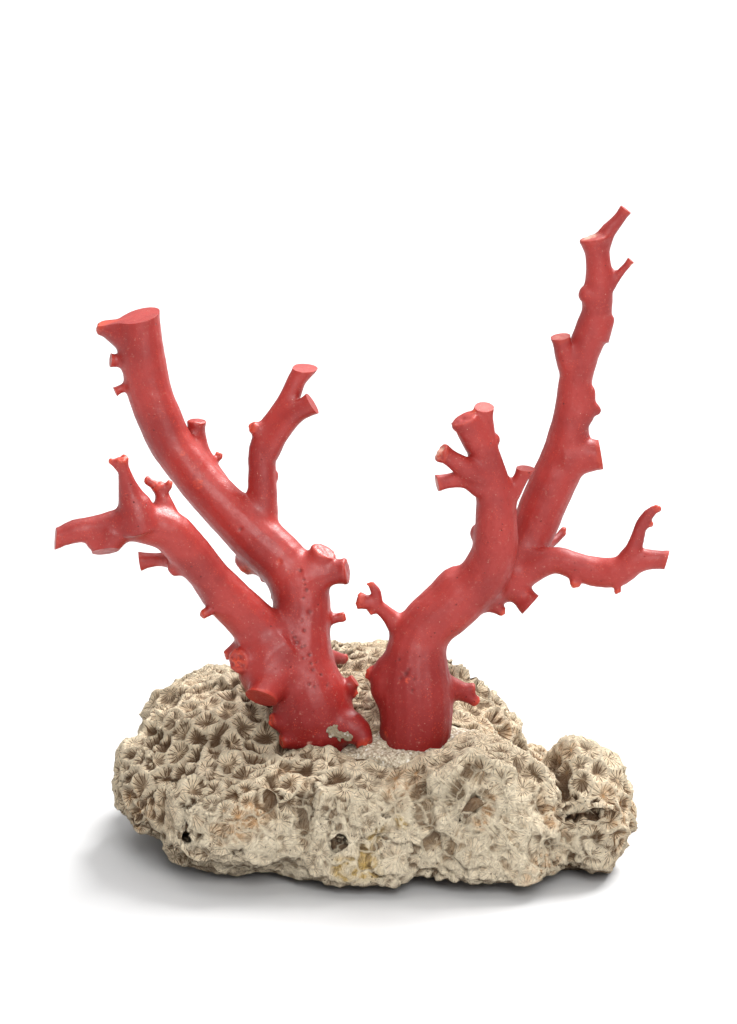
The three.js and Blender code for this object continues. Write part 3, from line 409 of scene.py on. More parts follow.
class StudioSettings(bpy.types.PropertyGroup):
    """Floor, lights and camera."""
    floor: colour("Floor", "Colour of the floor", (0.5, 0.5, 0.5))
    sky: FloatProperty(name="Surround", description="Strength of the pale surround", default=0.54, min=0)
    key: FloatProperty(name="Key light", description="Strength of the broad light from above, on the right",
                       default=6.0, min=0)
    spread: FloatProperty(name="Key spread", description="Width of the key light as an angle",
                          default=math.radians(28), min=0, unit="ROTATION")
    front: FloatProperty(name="Front light", description="Power of the softbox in front",
                        default=15, min=0, unit="POWER")
    top: FloatProperty(name="Top light", description="Power of the large softbox overhead", default=16, min=0,
                       unit="POWER")
    distance: length("Distance", "Camera's distance from what it looks at", 1300)
    height: FloatProperty(name="Height", description="Camera's angle above the level", default=math.radians(15),
                          unit="ROTATION")
    lens: FloatProperty(name="Lens", description="Focal length in millimetres for a 36 mm side",
                        default=FOCAL_LENGTH, min=1, unit="CAMERA")


# Building the corals

def smooth_line(stations, gap):
    """Points with their radii, as 4-D vectors in metres, on a smooth line through the stations."""
    knots = [Vector(station) * MM for station in stations]
    knots = [2 * knots[0] - knots[1], *knots, 2 * knots[-1] - knots[-2]]
    line = []
    for a, b, c, d in zip(knots, knots[1:], knots[2:], knots[3:]):
        steps = max(2, round((c - b).xyz.length / gap))
        for t in (k / steps for k in range(steps)):
            bend = (2 * a - 5 * b + 4 * c - d) * t * t + (3 * b - a - 3 * c + d) * t ** 3
            line.append((2 * b + (c - a) * t + bend) / 2)
    return [*line, knots[-2]]


def ring_places(line):
    """For each point of a line, the matrix that puts a circle of radius 1 round it."""
    places = []
    across = None
    for i, point in enumerate(line):
        way = (line[min(i + 1, len(line) - 1)] - line[max(i - 1, 0)]).xyz.normalized()
        across = way.orthogonal() if across is None else across - across.dot(way) * way
        across.normalize()
        place = Matrix((across * point.w, way.cross(across) * point.w, way * point.w)).transposed().to_4x4()
        place.translation = point.xyz
        places.append(place)
    return places


def limb_end(stations, facing=None):
    """A limb's end: its middle, its radius, the limb's way there, the way its cut faces, and how far past the
    middle a slanted cut reaches."""
    last = Vector(stations[-1]) * MM
    way = (last - Vector(stations[-2]) * MM).xyz.normalized()
    cut = Vector(facing).normalized() if facing else way
    slant = min(1.0, max(0.5, cut.dot(way)))
    return last.xyz, last.w, way, cut, SAW_SPARE + last.w * math.sqrt(1 / slant ** 2 - 1)


def add_limb(bm, sides, gap, end, stations, *facing):
    """One limb as a closed tube: past its end where it is sawn off later, and domed where it is broken."""
    line = smooth_line(stations, gap)
    at, radius, way, _, past = limb_end(stations, *facing)
    if end in FLARED and radius < THIN_END:
        for point in line:
            close = max(0.0, 1 - (point.xyz - at).length / (1.4 * radius))
            point.w *= 1 + FLARE * close ** 2
    if end.startswith("sawn"):
        line.append(Vector((*(line[-1].xyz + way * past), line[-1].w)))
    for rise, narrow in TIPS.get(end, ()):
        line.append(Vector((*(at + way * radius * rise), line[-1].w * narrow)))
    places = ring_places(line)
    ring = bmesh.ops.create_circle(bm, cap_ends=True, segments=sides, radius=1, matrix=places[0])
    face = ring["verts"][0].link_faces[0]
    for before, after in zip(places, places[1:]):
        grown = bmesh.ops.extrude_face_region(bm, geom=[face])["geom"]
        face = next(g for g in grown if isinstance(g, bmesh.types.BMFace))
        bmesh.ops.transform(bm, matrix=after @ before.inverted(), verts=face.verts)


def saw_off(bm, core, end, stations, *facing):
    """Cuts a limb off flat at its end and closes it with a fan of faces round the middle of the cut. Says whether
    it closed."""
    at, radius, way, cut, past = limb_end(stations, *facing)
    share, more = SAW_REACH[end]
    wide = share * radius + more
    near = {}  # kept in order, because a set comes out differently in each run
    for vert in bm.verts:
        out = vert.co - at
        if -2.5 * MM - past < out.dot(way) < past + 2 * MM and (out - out.dot(way) * way).length < wide:
            near[vert] = True
    faces = dict.fromkeys(f for v in near for f in v.link_faces if all(w in near for w in f.verts))
    edges = dict.fromkeys(e for f in faces for e in f.edges)
    made = bmesh.ops.bisect_plane(bm, geom=[*near, *edges, *faces], dist=1e-7, plane_co=at, plane_no=cut,
                                  clear_outer=True)
    rim = [g for g in made["geom_cut"] if isinstance(g, bmesh.types.BMEdge) and g.is_boundary]
    filled = bmesh.ops.holes_fill(bm, edges=rim)["faces"]
    for vert in {v for f in filled for v in f.verts}:
        vert[core] = 1.0
    fan = bmesh.ops.poke(bm, faces=filled)
    for face in fan["faces"]:
        face.material_index = 1
        face.smooth = False
    return not any(e.is_boundary for v in near if v.is_valid for e in v.link_edges)


class Skin:
    """A mesh's corners as one array, for moves along the surface that no operator makes."""

    def __init__(self, mesh):
        self.mesh = mesh
        self.at = np.empty(len(mesh.vertices) * 3)
        mesh.vertices.foreach_get("co", self.at)
        self.at = self.at.reshape(-1, 3)
        self.edges = np.empty(len(mesh.edges) * 2, np.int64)
        mesh.edges.foreach_get("vertices", self.edges)
        self.edges = self.edges.reshape(-1, 2)
        self.ends = np.concatenate([self.edges[:, 0], self.edges[:, 1]])
        self.others = np.concatenate([self.edges[:, 1], self.edges[:, 0]])
        self.degree = np.maximum(np.bincount(self.ends, minlength=len(self.at)), 1)

    def round_about(self, values):
        """The mean of the values at each corner's neighbours."""
        sums = [np.bincount(self.ends, values[self.others, k], len(self.at)) for k in range(values.shape[1])]
        return np.stack(sums, axis=1) / self.degree[:, None]

    def write(self):
        """Puts the corners back into the mesh."""
        self.mesh.vertices.foreach_set("co", self.at.ravel())
        self.mesh.update()

    def outward(self):
        """The skin's direction at each corner."""
        self.write()
        normals = np.empty(len(self.at) * 3)
        self.mesh.vertex_normals.foreach_get("vector", normals)
        return normals.reshape(-1, 3)

    def fill_hollows(self, rounds):
        """Raises only what lies in a hollow, so forks get webs and limbs keep their thickness."""
        for turn in range(rounds):
            if turn % 8 == 0:
                outward = self.outward()
            lift = ((self.round_about(self.at) - self.at) * outward).sum(axis=1)
            self.at += 0.6 * np.maximum(lift, 0)[:, None] * outward

    def smooth(self, rounds, shares=(0.5, -0.52)):
        """Takes the ripples out, here without thinning: each pull inwards is followed by a push back."""
        for _ in range(rounds):
            for share in shares:
                self.at += share * (self.round_about(self.at) - self.at)

    def waves(self, width, seed):
        """Seeded smooth noise of that width at each corner, about -1 to 1."""
        shift = Vector((seed, 2 * seed, 3 * seed))
        return np.array([noise.noise(Vector(p) / width + shift) for p in self.at])

    def drift(self, width, far):
        """A seeded smooth shift of each corner."""
        return far * np.array([noise.noise_vector(Vector(p) / width) for p in self.at])

    def hollowness(self, rounds):
        """How far each corner lies below the skin around it, in millimetres: below 0 on a crest."""
        outward, around = self.outward(), self.at
        for _ in range(rounds):
            around = self.round_about(around)
        return ((around - self.at) * outward).sum(axis=1) / MM

    def lifted(self, height):
        """0 on the ground, rising to 1 at that height."""
        return np.clip(self.at[:, 2] / height, 0, 1)

    def snap(self, middle):
        """The corner closest to a place, in millimetres."""
        return self.at[np.argmin(np.linalg.norm(self.at - np.array(middle) * MM, axis=1))] / MM

    def near(self, middle, radius):
        """1 at the middle, falling to 0 at the radius."""
        far = np.linalg.norm(self.at - np.array(middle) * MM, axis=1) / (radius * MM)
        return np.clip(1 - far ** 2, 0, 1) ** 2

    def along(self, points, width):
        """1 on the line through the points, falling to 0 at twice the width."""
        knots = np.array(points) * MM
        best = np.full(len(self.at), np.inf)
        for a, b in zip(knots, knots[1:]):
            t = np.clip(((self.at - a) * (b - a)).sum(axis=1) / ((b - a) ** 2).sum(), 0, 1)
            best = np.minimum(best, np.linalg.norm(self.at - a - t[:, None] * (b - a), axis=1))
        return np.clip(1 - (best / (2 * width * MM)) ** 2, 0, 1) ** 2

    def paint(self, name, values, kind="FLOAT"):
        """Keeps a number or a vector at each corner for the materials."""
        layer = self.mesh.attributes.new(name, kind, "POINT")
        layer.data.foreach_set("value" if kind == "FLOAT" else "vector", np.ravel(values).astype(np.float32))


def new_object(name, bm):
    """A finished bmesh as a new object in the scene."""
    mesh = bpy.data.meshes.new(name)
    bm.to_mesh(mesh)
    bm.free()
    made = bpy.data.objects.new(name, mesh)
    bpy.context.scene.collection.objects.link(made)
    return made


def reskin(piece, size):
    """Gives a piece one even skin in place of the shells it was built of."""
    remesh = piece.modifiers.new("Skin", "REMESH")
    remesh.mode = "VOXEL"
    remesh.voxel_size = size * 1
    remesh.use_smooth_shade = True
    graph = bpy.context.evaluated_depsgraph_get()
    skinned = bpy.data.meshes.new_from_object(piece.evaluated_get(graph))
    piece.modifiers.clear()
    old, piece.data = piece.data, skinned
    bpy.data.meshes.remove(old)


def settle(piece, slot, nodes, *materials):
    """Gives a piece its materials, and makes it ride with the part and stand for its CAD nodes."""
    piece.data.materials.clear()
    for material in materials:
        piece.data.materials.append(material)
    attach(piece, BODY)
    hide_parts(*nodes)


def grow_coral(name, limbs, marks, seed, duller, *nodes):
    """A whole red coral: limbs joined in one skin, forks webbed, ends sawn off or broken, marks drawn in."""
    size = bpy.context.scene.red_coral
    bm = bmesh.new()
    for limb in limbs:
        add_limb(bm, size.ring_sides, size.ring_gap, *limb)
    piece = new_object(name, bm)
    reskin(piece, size.skin)
    skin = Skin(piece.data)
    skin.smooth(4)
    skin.fill_hollows(size.fork_fill // (1))
    skin.smooth(24)
    outward = skin.outward()
    marks = [(kind, skin.snap(middle), radius) for kind, places in marks.items() for *middle, radius in places]
    height = size.swell * skin.waves(size.swell_width, seed) + size.ripple * skin.waves(size.ripple_width, seed + 5)
    torn = np.zeros(len(skin.at))
    for end, stations, *_ in limbs:
        *last, radius = stations[-1]
        if end in FLARED:
            rough = min(1, 2.6 / radius) if end == "broken" else 0.3
            torn = np.maximum(torn, rough * skin.near(last, 1.5 * radius + 0.8))
    tear = 0.5 - 2.4 * abs(skin.waves(3.2 * MM, seed + 9)) + 0.5 * skin.waves(1.4 * MM, seed + 11)
    height += size.tear * torn * tear
    for kind, middle, radius in marks:
        if kind in ("pit", "chip"):
            height -= 0.5 * radius * MM * skin.near(middle, radius * 1.2)
    skin.at += height[:, None] * outward
    skin.write()
    bm = bmesh.new()
    bm.from_mesh(piece.data)
    core = bm.verts.layers.float.new("core")
    sawn = [limb for limb in limbs if limb[0].startswith("sawn")]
    gaping = [limb[1][-1] for limb in sawn if not saw_off(bm, core, *limb)]
    if gaping:
        raise RuntimeError(f"{name} has cuts that don't close, at {gaping}")
    bmesh.ops.recalc_face_normals(bm, faces=bm.faces)
    bm.to_mesh(piece.data)
    bm.free()
    tint_coral(Skin(piece.data), limbs, marks)
    settle(piece, "red_coral", nodes, red_coral_polish(name.replace("_", " ") + " polish", duller), red_coral_cut())


def tint_coral(skin, limbs, marks):
    """Where a coral is orange, pale or dark, kept at its corners."""
    tints = {name: np.zeros(len(skin.at)) for name in ("orange", "pale", "dark")}
    for end, stations, *_ in limbs:
        *last, radius = stations[-1]
        if end == "broken":
            rim = min(0.8, 2.2 / radius) * skin.near(last, 1.4 * radius + 1.0)
        elif end in ("sawn", "rounded"):
            # A faint orange ring round a sawn or worn end: painted glow of light through the thin rim.
            far = np.linalg.norm(skin.at - np.array(last) * MM, axis=1) / MM
            rim = 0.22 * np.clip(1 - abs(far - radius) / 0.9, 0, 1)
        else:
            continue
        tints["orange"] = np.maximum(tints["orange"], rim)
    for kind, middle, radius in marks:
        for name, strength, reach, most in TINTS[kind]:
            tint = np.minimum(most, strength * skin.near(middle, radius * reach))
            tints[name] = np.maximum(tints[name], tint)
    for name, values in tints.items():
        skin.paint(name, values)
    skin.paint("hollow", skin.hollowness(6))


# Materials

class Recipe:
    """A new material, with short words for its nodes. A pattern lies on Object coordinates, or on the place given."""

    def __init__(self, name):
        self.material = bpy.data.materials.new(name)
        self.material.use_nodes = True
        self.tree = self.material.node_tree
        self.tree.nodes.clear()
        self.place = self.node("TexCoord").outputs["Object"]

    def node(self, kind, inputs=None, **settings):
        """A shader node with its settings and inputs: an input is a value or another node's output."""
        made = self.tree.nodes.new("ShaderNode" + kind)
        for key, value in settings.items():
            setattr(made, key, value)
        for key, value in (inputs or {}).items():
            if isinstance(value, bpy.types.NodeSocket):
                self.tree.links.new(value, made.inputs[key])
            else:
                made.inputs[key].default_value = value
        return made

    def math(self, operation, *values, clamp=False):
        """A sum on numbers."""
        return self.node("Math", dict(enumerate(values)), operation=operation, use_clamp=clamp).outputs[0]

    def times(self, first, *others):
        """All the values multiplied."""
        for other in others:
            first = self.math("MULTIPLY", first, other)
        return first

    def most(self, first, *others):
        """The largest of the values."""
        for other in others:
            first = self.math("MAXIMUM", first, other)
        return first

    def vector(self, operation, *values, **scale):
        """A sum on vectors: its length or another vector."""
        made = self.node("VectorMath", {**dict(enumerate(values)), **scale}, operation=operation)
        return made.outputs["Value" if operation == "LENGTH" else "Vector"]

    def split(self, place):
        """The three numbers of a vector."""
        return self.node("SeparateXYZ", {0: place}).outputs

    def join(self, x=0.0, y=0.0, z=0.0):
        """A vector of three numbers."""
        return self.node("CombineXYZ", {0: x, 1: y, 2: z}).outputs[0]

    def kept(self, name, output="Fac"):
        """What was kept at the mesh's corners under that name."""
        return self.node("Attribute", attribute_name=name).outputs[output]

    def grade(self, value, low, high, to_low=0.0, to_high=1.0):
        """A value carried smoothly from one range to another and held there."""
        return self.node("MapRange", {"Value": value, "From Min": low, "From Max": high, "To Min": to_low,
                                      "To Max": to_high}, interpolation_type="SMOOTHSTEP").outputs[0]

    def clouds(self, width, detail=3, rough=0.5, twist=0.0, place=None):
        """Noise whose patches are that wide."""
        return self.node("TexNoise", {"Vector": place or self.place, "Scale": 1 / width, "Detail": detail,
                                      "Roughness": rough, "Distortion": twist}).outputs["Fac"]

    def grains(self, width, output="Distance", feature="F1", place=None):
        """Cells that wide: how far it is to a cell's middle or edge, or a colour for each cell."""
        return self.node("TexVoronoi", {"Vector": place or self.place, "Scale": 1 / width},
                         feature=feature).outputs[output]

    def bend(self, place, width, far):
        """The place, shifted by smooth noise, so that a pattern laid on it flows."""
        swirl = self.node("TexNoise", {"Vector": place, "Scale": 1 / width, "Detail": 2}).outputs["Color"]
        shift = self.vector("SCALE", self.vector("SUBTRACT", swirl, (0.5, 0.5, 0.5)), Scale=far)
        return self.vector("ADD", place, shift)

    def paint(self, base, *coats):
        """A colour under coats, each its share and its colour, the topmost last."""
        for share, coat in coats:
            sides = {key: side if isinstance(side, bpy.types.NodeSocket) else (*side, 1)
                     for key, side in ((6, base), (7, coat))}
            base = self.node("Mix", {0: share, **sides}, data_type="RGBA").outputs[2]
        return base

    def relief(self, *bumps):
        """Bumps laid over one another: of each its pattern, how far it stands out, and its strength if not 1."""
        under = {}
        for pattern, height, *strength in bumps:
            made = self.node("Bump", {"Height": pattern, "Distance": height, "Strength": (*strength, 1.0)[0],
                                      **under})
            under = {"Normal": made.outputs[0]}
        return under["Normal"]

    def finish(self, **inputs):
        """Closes the material with the shader's inputs, typed with _ for each space."""
        shader = self.node("BsdfPrincipled", {key.replace("_", " "): value for key, value in inputs.items()})
        self.node("OutputMaterial", {"Surface": shader.outputs[0]})
        return self.material


def red_coral_polish(name, duller):
    """Waxy polished red coral: cloudy red, orange tips and spots, orange rims brightened as painted glow, pale
    specks, small dark pits, and painted shade towards the feet.
    """
    look = bpy.context.scene.red_coral
    m = Recipe(name)
    fine = m.clouds(2.2 * MM, 5, 0.6)
    # Painted shade: darker red and less shine towards the feet, where less light reaches.
    low = m.grade(m.split(m.place)["Z"], 46 * MM, 92 * MM, 0.9, 0)
    # Orange: a fine dust of it all over and more of it towards tips, its own colour; along sharp rims near the ends
    # it is brightened further as painted glow of light through the thin edge.
    orange = m.kept("orange")
    dust = m.times(m.grade(m.grains(0.8 * MM), 0.1, 0.34, 0.75, 0), m.grade(m.clouds(4 * MM, 3, 0.6), 0.42, 0.66))
    # Painted glow: orange made stronger on crests where the ends are orange.
    rim = m.times(m.grade(m.kept("hollow"), -0.22, -0.05, 1, 0), orange)
    tip = m.times(m.grade(orange, 0.1, 0.8), m.grade(m.clouds(1.1 * MM, 4, 0.65), 0.4, 0.6, 0.08, 0.8))
    orange_and_rim_glow = m.most(dust, tip, m.math("MULTIPLY", rim, 1.6, clamp=True))
    speck = m.times(m.grade(m.grains(1.7 * MM), 0.06, 0.12, 1, 0), m.grade(m.clouds(5 * MM, 2), 0.5, 0.62))
    haze = m.grade(m.clouds(1.4 * MM, 6, 0.75), 0.56, 0.8, 0, 0.3)
    worn = m.times(m.kept("pale"), m.grade(fine, 0.3, 0.6, 0, 0.6))
    pore = m.times(m.grade(m.grains(2.6 * MM), 0.07, 0.15, 1, 0), m.grade(m.clouds(7 * MM, 2), 0.52, 0.66))
    base = m.paint(
        look.red,
        (m.grade(m.clouds(22 * MM, 3, 0.55), 0.38, 0.66, 0, 0.6), look.deep_red),
        (m.grade(fine, 0.48, 0.8, 0, 0.35), look.deep_red),
        # Painted shade towards the feet.
        (low, look.deep_red),
        (orange_and_rim_glow, look.orange),
        (m.most(m.times(speck, 0.45), haze, worn), look.pale),
        (m.math("MAXIMUM", m.kept("dark"), m.times(pore, 0.8), clamp=True), look.pit))
    silk = m.math("SUBTRACT", m.times(m.clouds(0.5 * MM, 3, 0.6), 0.3), pore)
    dull = look.roughness + duller
    return m.finish(Base_Color=base, Roughness=m.grade(fine, 0.3, 0.75, dull - 0.05, dull + 0.12),
                    Normal=m.relief((m.clouds(5 * MM, 3, 0.5), 0.35 * MM, 0.4), (silk, 0.3 * MM)),
                    Specular_IOR_Level=m.grade(low, 0, 0.9, 0.46, 0.28), Subsurface_Weight=0.08, **WAX)


def red_coral_cut():
    """A sawn face: duller, with faint growth rings, a thin orange rim painted as a glow of light through the thin
    edge, and pale where the heart was chalky.
    """
    look = bpy.context.scene.red_coral
    m = Recipe("red coral cut")
    fine = m.clouds(1.2 * MM, 4, 0.6)
    waver = m.math("ADD", m.kept("core"), m.times(fine, 0.12))
    rings = m.math("SINE", m.times(waver, 34.0))
    base = m.paint(
        look.cut_face,
        (m.grade(rings, -1, 1, 0, 0.3), look.red),
        (m.grade(fine, 0.5, 0.75, 0, 0.18), look.pale),
        (m.grade(waver, 0.02, 0.2, 0.5, 0), look.deep_red),
        (m.times(m.kept("pale"), m.grade(fine, 0.35, 0.65, 0.15, 0.75)), look.pale),
        # Painted glow: the thin orange rim of the cut.
        (m.times(m.grade(waver, 0.9, 1.02), m.grade(m.clouds(3 * MM, 3), 0.35, 0.6, 0, 0.6)), look.orange))
    return m.finish(Base_Color=base, Roughness=0.5, Subsurface_Weight=0.05,
                    Normal=m.relief((m.math("ADD", m.times(rings, 0.15), fine), 0.3 * MM)), **WAX)


def stony_coral_rock():
    """Weathered stony coral: ribbed cups with pale walls, a worn pale front and stains; brown down in the cups partly
    dirt and partly painted shade, and painted shade between the ribs, in crevices, holes and cracks and under the
    stone.
    """
    look = bpy.context.scene.stony_coral
    m = Recipe("stony coral rock")
    deep, nook, dark, ribbed, worn, rust, yellow, brown, wide = (
        m.kept(name) for name in ("hollow", "nook", "dark", "ribbed", "worn", "rust", "yellow", "brown", "open"))
    broad, fine, dust = m.clouds(17 * MM, 4, 0.6), m.clouds(2.4 * MM, 5, 0.65), m.clouds(0.6 * MM, 4, 0.7)
    # Ribs run out from the middle of each cup: half of them start there, and the others halfway to its rim.
    east, north, wall = m.split(m.kept("spoke", "Vector"))
    turn = m.math("ADD", m.times(m.math("ARCTAN2", north, east), float(look.ribs)), m.times(m.clouds(3 * MM, 2), 1.6))
    few, many = (m.grade(m.math("SINE", m.times(turn, share)), low, 0.7)
                 for share, low in ((1.0, -0.1), (2.0, -0.45)))
    reach = m.vector("LENGTH", m.join(east, north))
    rib = m.most(few, m.times(many, m.grade(reach, 1.2, 2.2)))
    here = m.times(m.grade(wall, -0.2, 0.15), m.grade(reach, 0.4, 1.2), m.grade(ribbed, 0.1, 0.6, 0.4, 1.0),
                   m.grade(m.clouds(7 * MM, 3, 0.6), 0.36, 0.58, 0.7, 1))
    # Fine ribs fan out over the worn front: noise drawn out along the way from the fan's middle.
    east, north, strength = m.split(m.kept("fan", "Vector"))
    flat = m.join(east, north)
    far = m.vector("LENGTH", flat)
    streak = m.vector("ADD", m.vector("SCALE", m.vector("NORMALIZE", flat), Scale=11.0), m.join(z=m.times(far, 0.08)))
    fibre = m.clouds(1.0, 3, 0.6, place=m.bend(streak, 4, 1.6))
    fanned = m.times(worn, strength, m.grade(far, 2, 6))
    high = m.math("SUBTRACT", fine, m.times(deep, 0.25))
    stain = m.math("ADD", rust, m.grade(broad, 0.58, 0.75, 0, 0.5), clamp=True)
    glass = m.times(yellow, m.grade(fine, 0.2, 0.46))
    clean = m.grade(worn, 0, 1, 1, 0.55)
    pore = m.times(m.grade(m.grains(1.5 * MM), 0.12, 0.3, 1, 0), m.grade(m.clouds(6 * MM, 3), 0.48, 0.6))
    web = m.grains(8 * MM, feature="DISTANCE_TO_EDGE", place=m.bend(m.place, 5 * MM, 5 * MM))
    ridge = m.times(m.grade(web, 0.0, 0.1, 1, 0), worn)
    base = m.paint(
        look.crest,
        # Brown down in the cups and hollows, and darker still deep in the open cups: partly dirt, partly painted
        # shade.
        (m.grade(deep, -0.3, 1.0, 0, 0.9), look.hollow),
        (m.times(wide, m.grade(deep, 0, 1.2, 0.1, 0.75)), look.dirt_and_shade),
        (m.times(brown, m.grade(broad, 0.3, 0.6, 0.3, 0.75)), look.brown),
        (m.times(worn, m.grade(high, 0.2, 0.6, 0.3, 1.0)), look.worn),
        (m.times(stain, m.grade(fine, 0.34, 0.58, 0.1, 0.85)), look.rust),
        (glass, look.yellow),
        # Painted shade between the ribs in each cup; the ribs themselves keep the crest colour.
        (m.times(here, m.math("SUBTRACT", 1.0, rib), 0.88), look.dirt_and_shade),
        (m.times(here, rib, 0.7), look.crest),
        # Painted shade, with some dirt: dark in the deepest hollows and in small crevices; paler on small crests.
        (m.times(clean, m.grade(m.math("ADD", deep, fine), 1.3, 2.3, 0, 0.75)), look.dirt_and_shade),
        (m.times(clean, m.grade(nook, 0.06, 0.42, 0, 0.65)), look.dirt_and_shade),
        (m.grade(nook, -0.34, -0.04, 0.6, 0), look.worn),
        # Painted shade: dark in the holes, the cracks and on the underside, darkest deep in the holes.
        (dark, look.dirt_and_shade),
        (m.grade(dark, 0.8, 1, 0, 0.85), look.shade),
        (m.times(pore, 0.7), look.dirt_and_shade),
        (m.grade(dust, 0.58, 0.75, 0, 0.4), look.dirt_and_shade),
        (m.grade(dust, 0.25, 0.42, 0.35, 0), look.worn),
        (m.times(fanned, m.grade(fibre, 0.52, 0.66, 0, 0.6)), look.hollow),
        (m.times(fanned, m.grade(fibre, 0.3, 0.44, 0.7, 0)), look.worn),
        (m.times(ridge, 0.8), look.worn))
    normal = m.relief(
        (m.clouds(5 * MM, 6, 0.7, 0.5), 4 * MM),
        (fine, 1.6 * MM, 0.8),
        (ridge, 1.0 * MM),
        (m.times(rib, here), look.rib_height),
        (m.times(m.math("SUBTRACT", 1.0, fibre), fanned), 2.4 * MM),
        (m.math("SUBTRACT", dust, pore), 0.45 * MM))
    return m.finish(Base_Color=base, Roughness=m.grade(glass, 0, 1, 0.92, 0.35), Normal=normal, IOR=1.45,
                    Specular_IOR_Level=0.3)


def granular_cement(name, main):
    """Grey cement of sand grains, a few of them bright."""
    look = bpy.context.scene.cement
    m = Recipe(name)
    fine, sand = m.clouds(1.3 * MM, 5, 0.7), m.grains(0.9 * MM)
    base = m.paint(
        look.dark,
        (m.grade(fine, 0.35, 0.6), main),
        (m.grade(m.grains(0.9 * MM, output="Color"), 0.75, 0.95, 0, 0.8), look.spark),
        (m.grade(sand, 0.4, 0.7, 0, 0.5), look.dark))
    return m.finish(Base_Color=base, Roughness=0.8, Normal=m.relief((fine, 0.7 * MM), (sand, 0.4 * MM)), IOR=1.5)


# Building the stone and the cement

def copy_of_node(name, made_name):
    """A CAD node's shape as a new object, with its loose triangles joined."""
    bm = bmesh.new()
    bm.from_mesh(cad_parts[name].data)
    bmesh.ops.remove_doubles(bm, verts=bm.verts, dist=0.02 * MM)
    return new_object(made_name, bm)


def spread_cups(skin, gap):
    """The middles of the cups: corners of the skin at least so far apart, taken in a seeded order."""
    order = np.random.RandomState(SEEDS["cups"]).permutation(len(skin.at))
    order = [i for i in order if skin.at[i, 2] > 1.5 * MM][:CORNERS_TRIED]
    cells, middles = {}, []
    for i in order:
        x, y, z = skin.at[i]
        own = gap * (1 + 0.25 * noise.noise(Vector((x, y, z)) / (20 * MM)))
        cell = tuple(int(c // gap) for c in (x, y, z))
        around = [cells.get((cell[0] + a, cell[1] + b, cell[2] + c), ()) for a in (-1, 0, 1)
                  for b in (-1, 0, 1) for c in (-1, 0, 1)]
        if all(np.linalg.norm(skin.at[i] - skin.at[j]) >= own for group in around for j in group):
            cells.setdefault(cell, []).append(i)
            middles.append(i)
    return np.array(middles)


def carve_cups(skin, look, middles):
    """For each corner: where it lies from the middle of its cup and its wall, how deep the cup is there, and the
    surface's broad direction."""
    flow = skin.outward()
    for _ in range(12):
        flow = skin.round_about(flow)
    flow /= np.linalg.norm(flow, axis=1)[:, None]
    tree = KDTree(len(middles))
    for k, i in enumerate(middles):
        tree.insert(skin.at[i], k)
    tree.balance()
    own = np.random.RandomState(SEEDS["cup depths"]).uniform(0.4, 1.15, len(middles))
    spoke = np.zeros((len(skin.at), 3))
    height = np.zeros(len(skin.at))
    for i, point in enumerate(skin.at):
        moved = Vector(point) + 1.2 * MM * noise.noise_vector(Vector(point) / (5 * MM))
        (one, k, _), (two, other, _), (three, _, _) = tree.find_n(moved, 3)
        across = (three if (k * other + k + other) % 9 == 0 else two) - one
        wall = max(0.0, (one + across / 2 - moved).dot(across) / max(across.length, 1e-9))
        up = Vector(flow[middles[k]])
        east = up.orthogonal().normalized()
        out = moved - one
        spoke[i] = out.dot(east) / MM, out.dot(up.cross(east)) / MM, wall / MM
        height[i] = own[k] * (1 - (1 - min(1.0, wall / look.wall)) ** 1.7)
    return spoke, height, flow


def fan_out(skin, flow):
    """For each corner, where it lies from the middle of its fan of fine ribs, and how strong the fan is there."""
    fans = np.zeros((len(skin.at), 3))
    for middle, reach in STONE_FANS:
        share = np.minimum(1, 2 * skin.near(middle, reach))
        up = Vector(flow[np.argmin(np.linalg.norm(skin.at - np.array(middle) * MM, axis=1))])
        east = up.orthogonal().normalized()
        out = (skin.at - np.array(middle) * MM) / MM
        here = share > fans[:, 2]
        sides = [(out * np.array(side)).sum(axis=1) for side in (east, up.cross(east))]
        fans[here] = np.stack([*sides, share], axis=1)[here]
    return fans


def raise_lip(skin):
    """Lifts the stone's front edge a few millimetres clear of the ground."""
    x, y, z = (skin.at / MM).T
    inwards = np.clip((LIP_BACK - y) / 9, 0, 1)
    inwards = inwards * np.clip((x - LIP_LEFT) / 16, 0, 1) * np.clip((LIP_RIGHT - x) / 16, 0, 1)
    roof = inwards * (3.4 + 1.3 * np.clip((x + 30) / 60, 0, 1) + 0.9 * skin.waves(9 * MM, 31))
    skin.at[:, 2] = np.where(z < roof, roof + 0.12 * (z - roof), z) * MM


def find_areas(skin):
    """How far each corner is in an area of each kind: 1 well inside, with a ragged edge."""
    straight = skin.at
    skin.at = straight + skin.drift(16 * MM, 7 * MM) + skin.drift(5 * MM, 2 * MM)
    found = {}
    for kind, areas in STONE_AREAS.items():
        inside = [skin.near(skin.snap(middle), reach) for *middle, reach in areas]
        found[kind] = np.minimum(1, AREA_EDGE * np.max(inside, axis=0))
    skin.at = straight
    return found


def sink_holes(skin, flow):
    """Sinks the stone's ragged holes, and says how far each corner is in one."""
    straight = skin.at
    shift = skin.drift(2.6 * MM, 2.4 * MM) + skin.drift(7 * MM, 2.4 * MM)
    dark, sink = np.zeros(len(straight)), np.zeros(len(straight))
    for middle, radius, down, ragged in STONE_HOLES:
        skin.at = straight + ragged * shift
        hole = np.minimum(1, 1.6 * skin.near(skin.snap(middle), radius * 1.15))
        sink += down * MM * hole
        dark = np.maximum(dark, hole)
    skin.at = straight - sink[:, None] * flow
    return dark


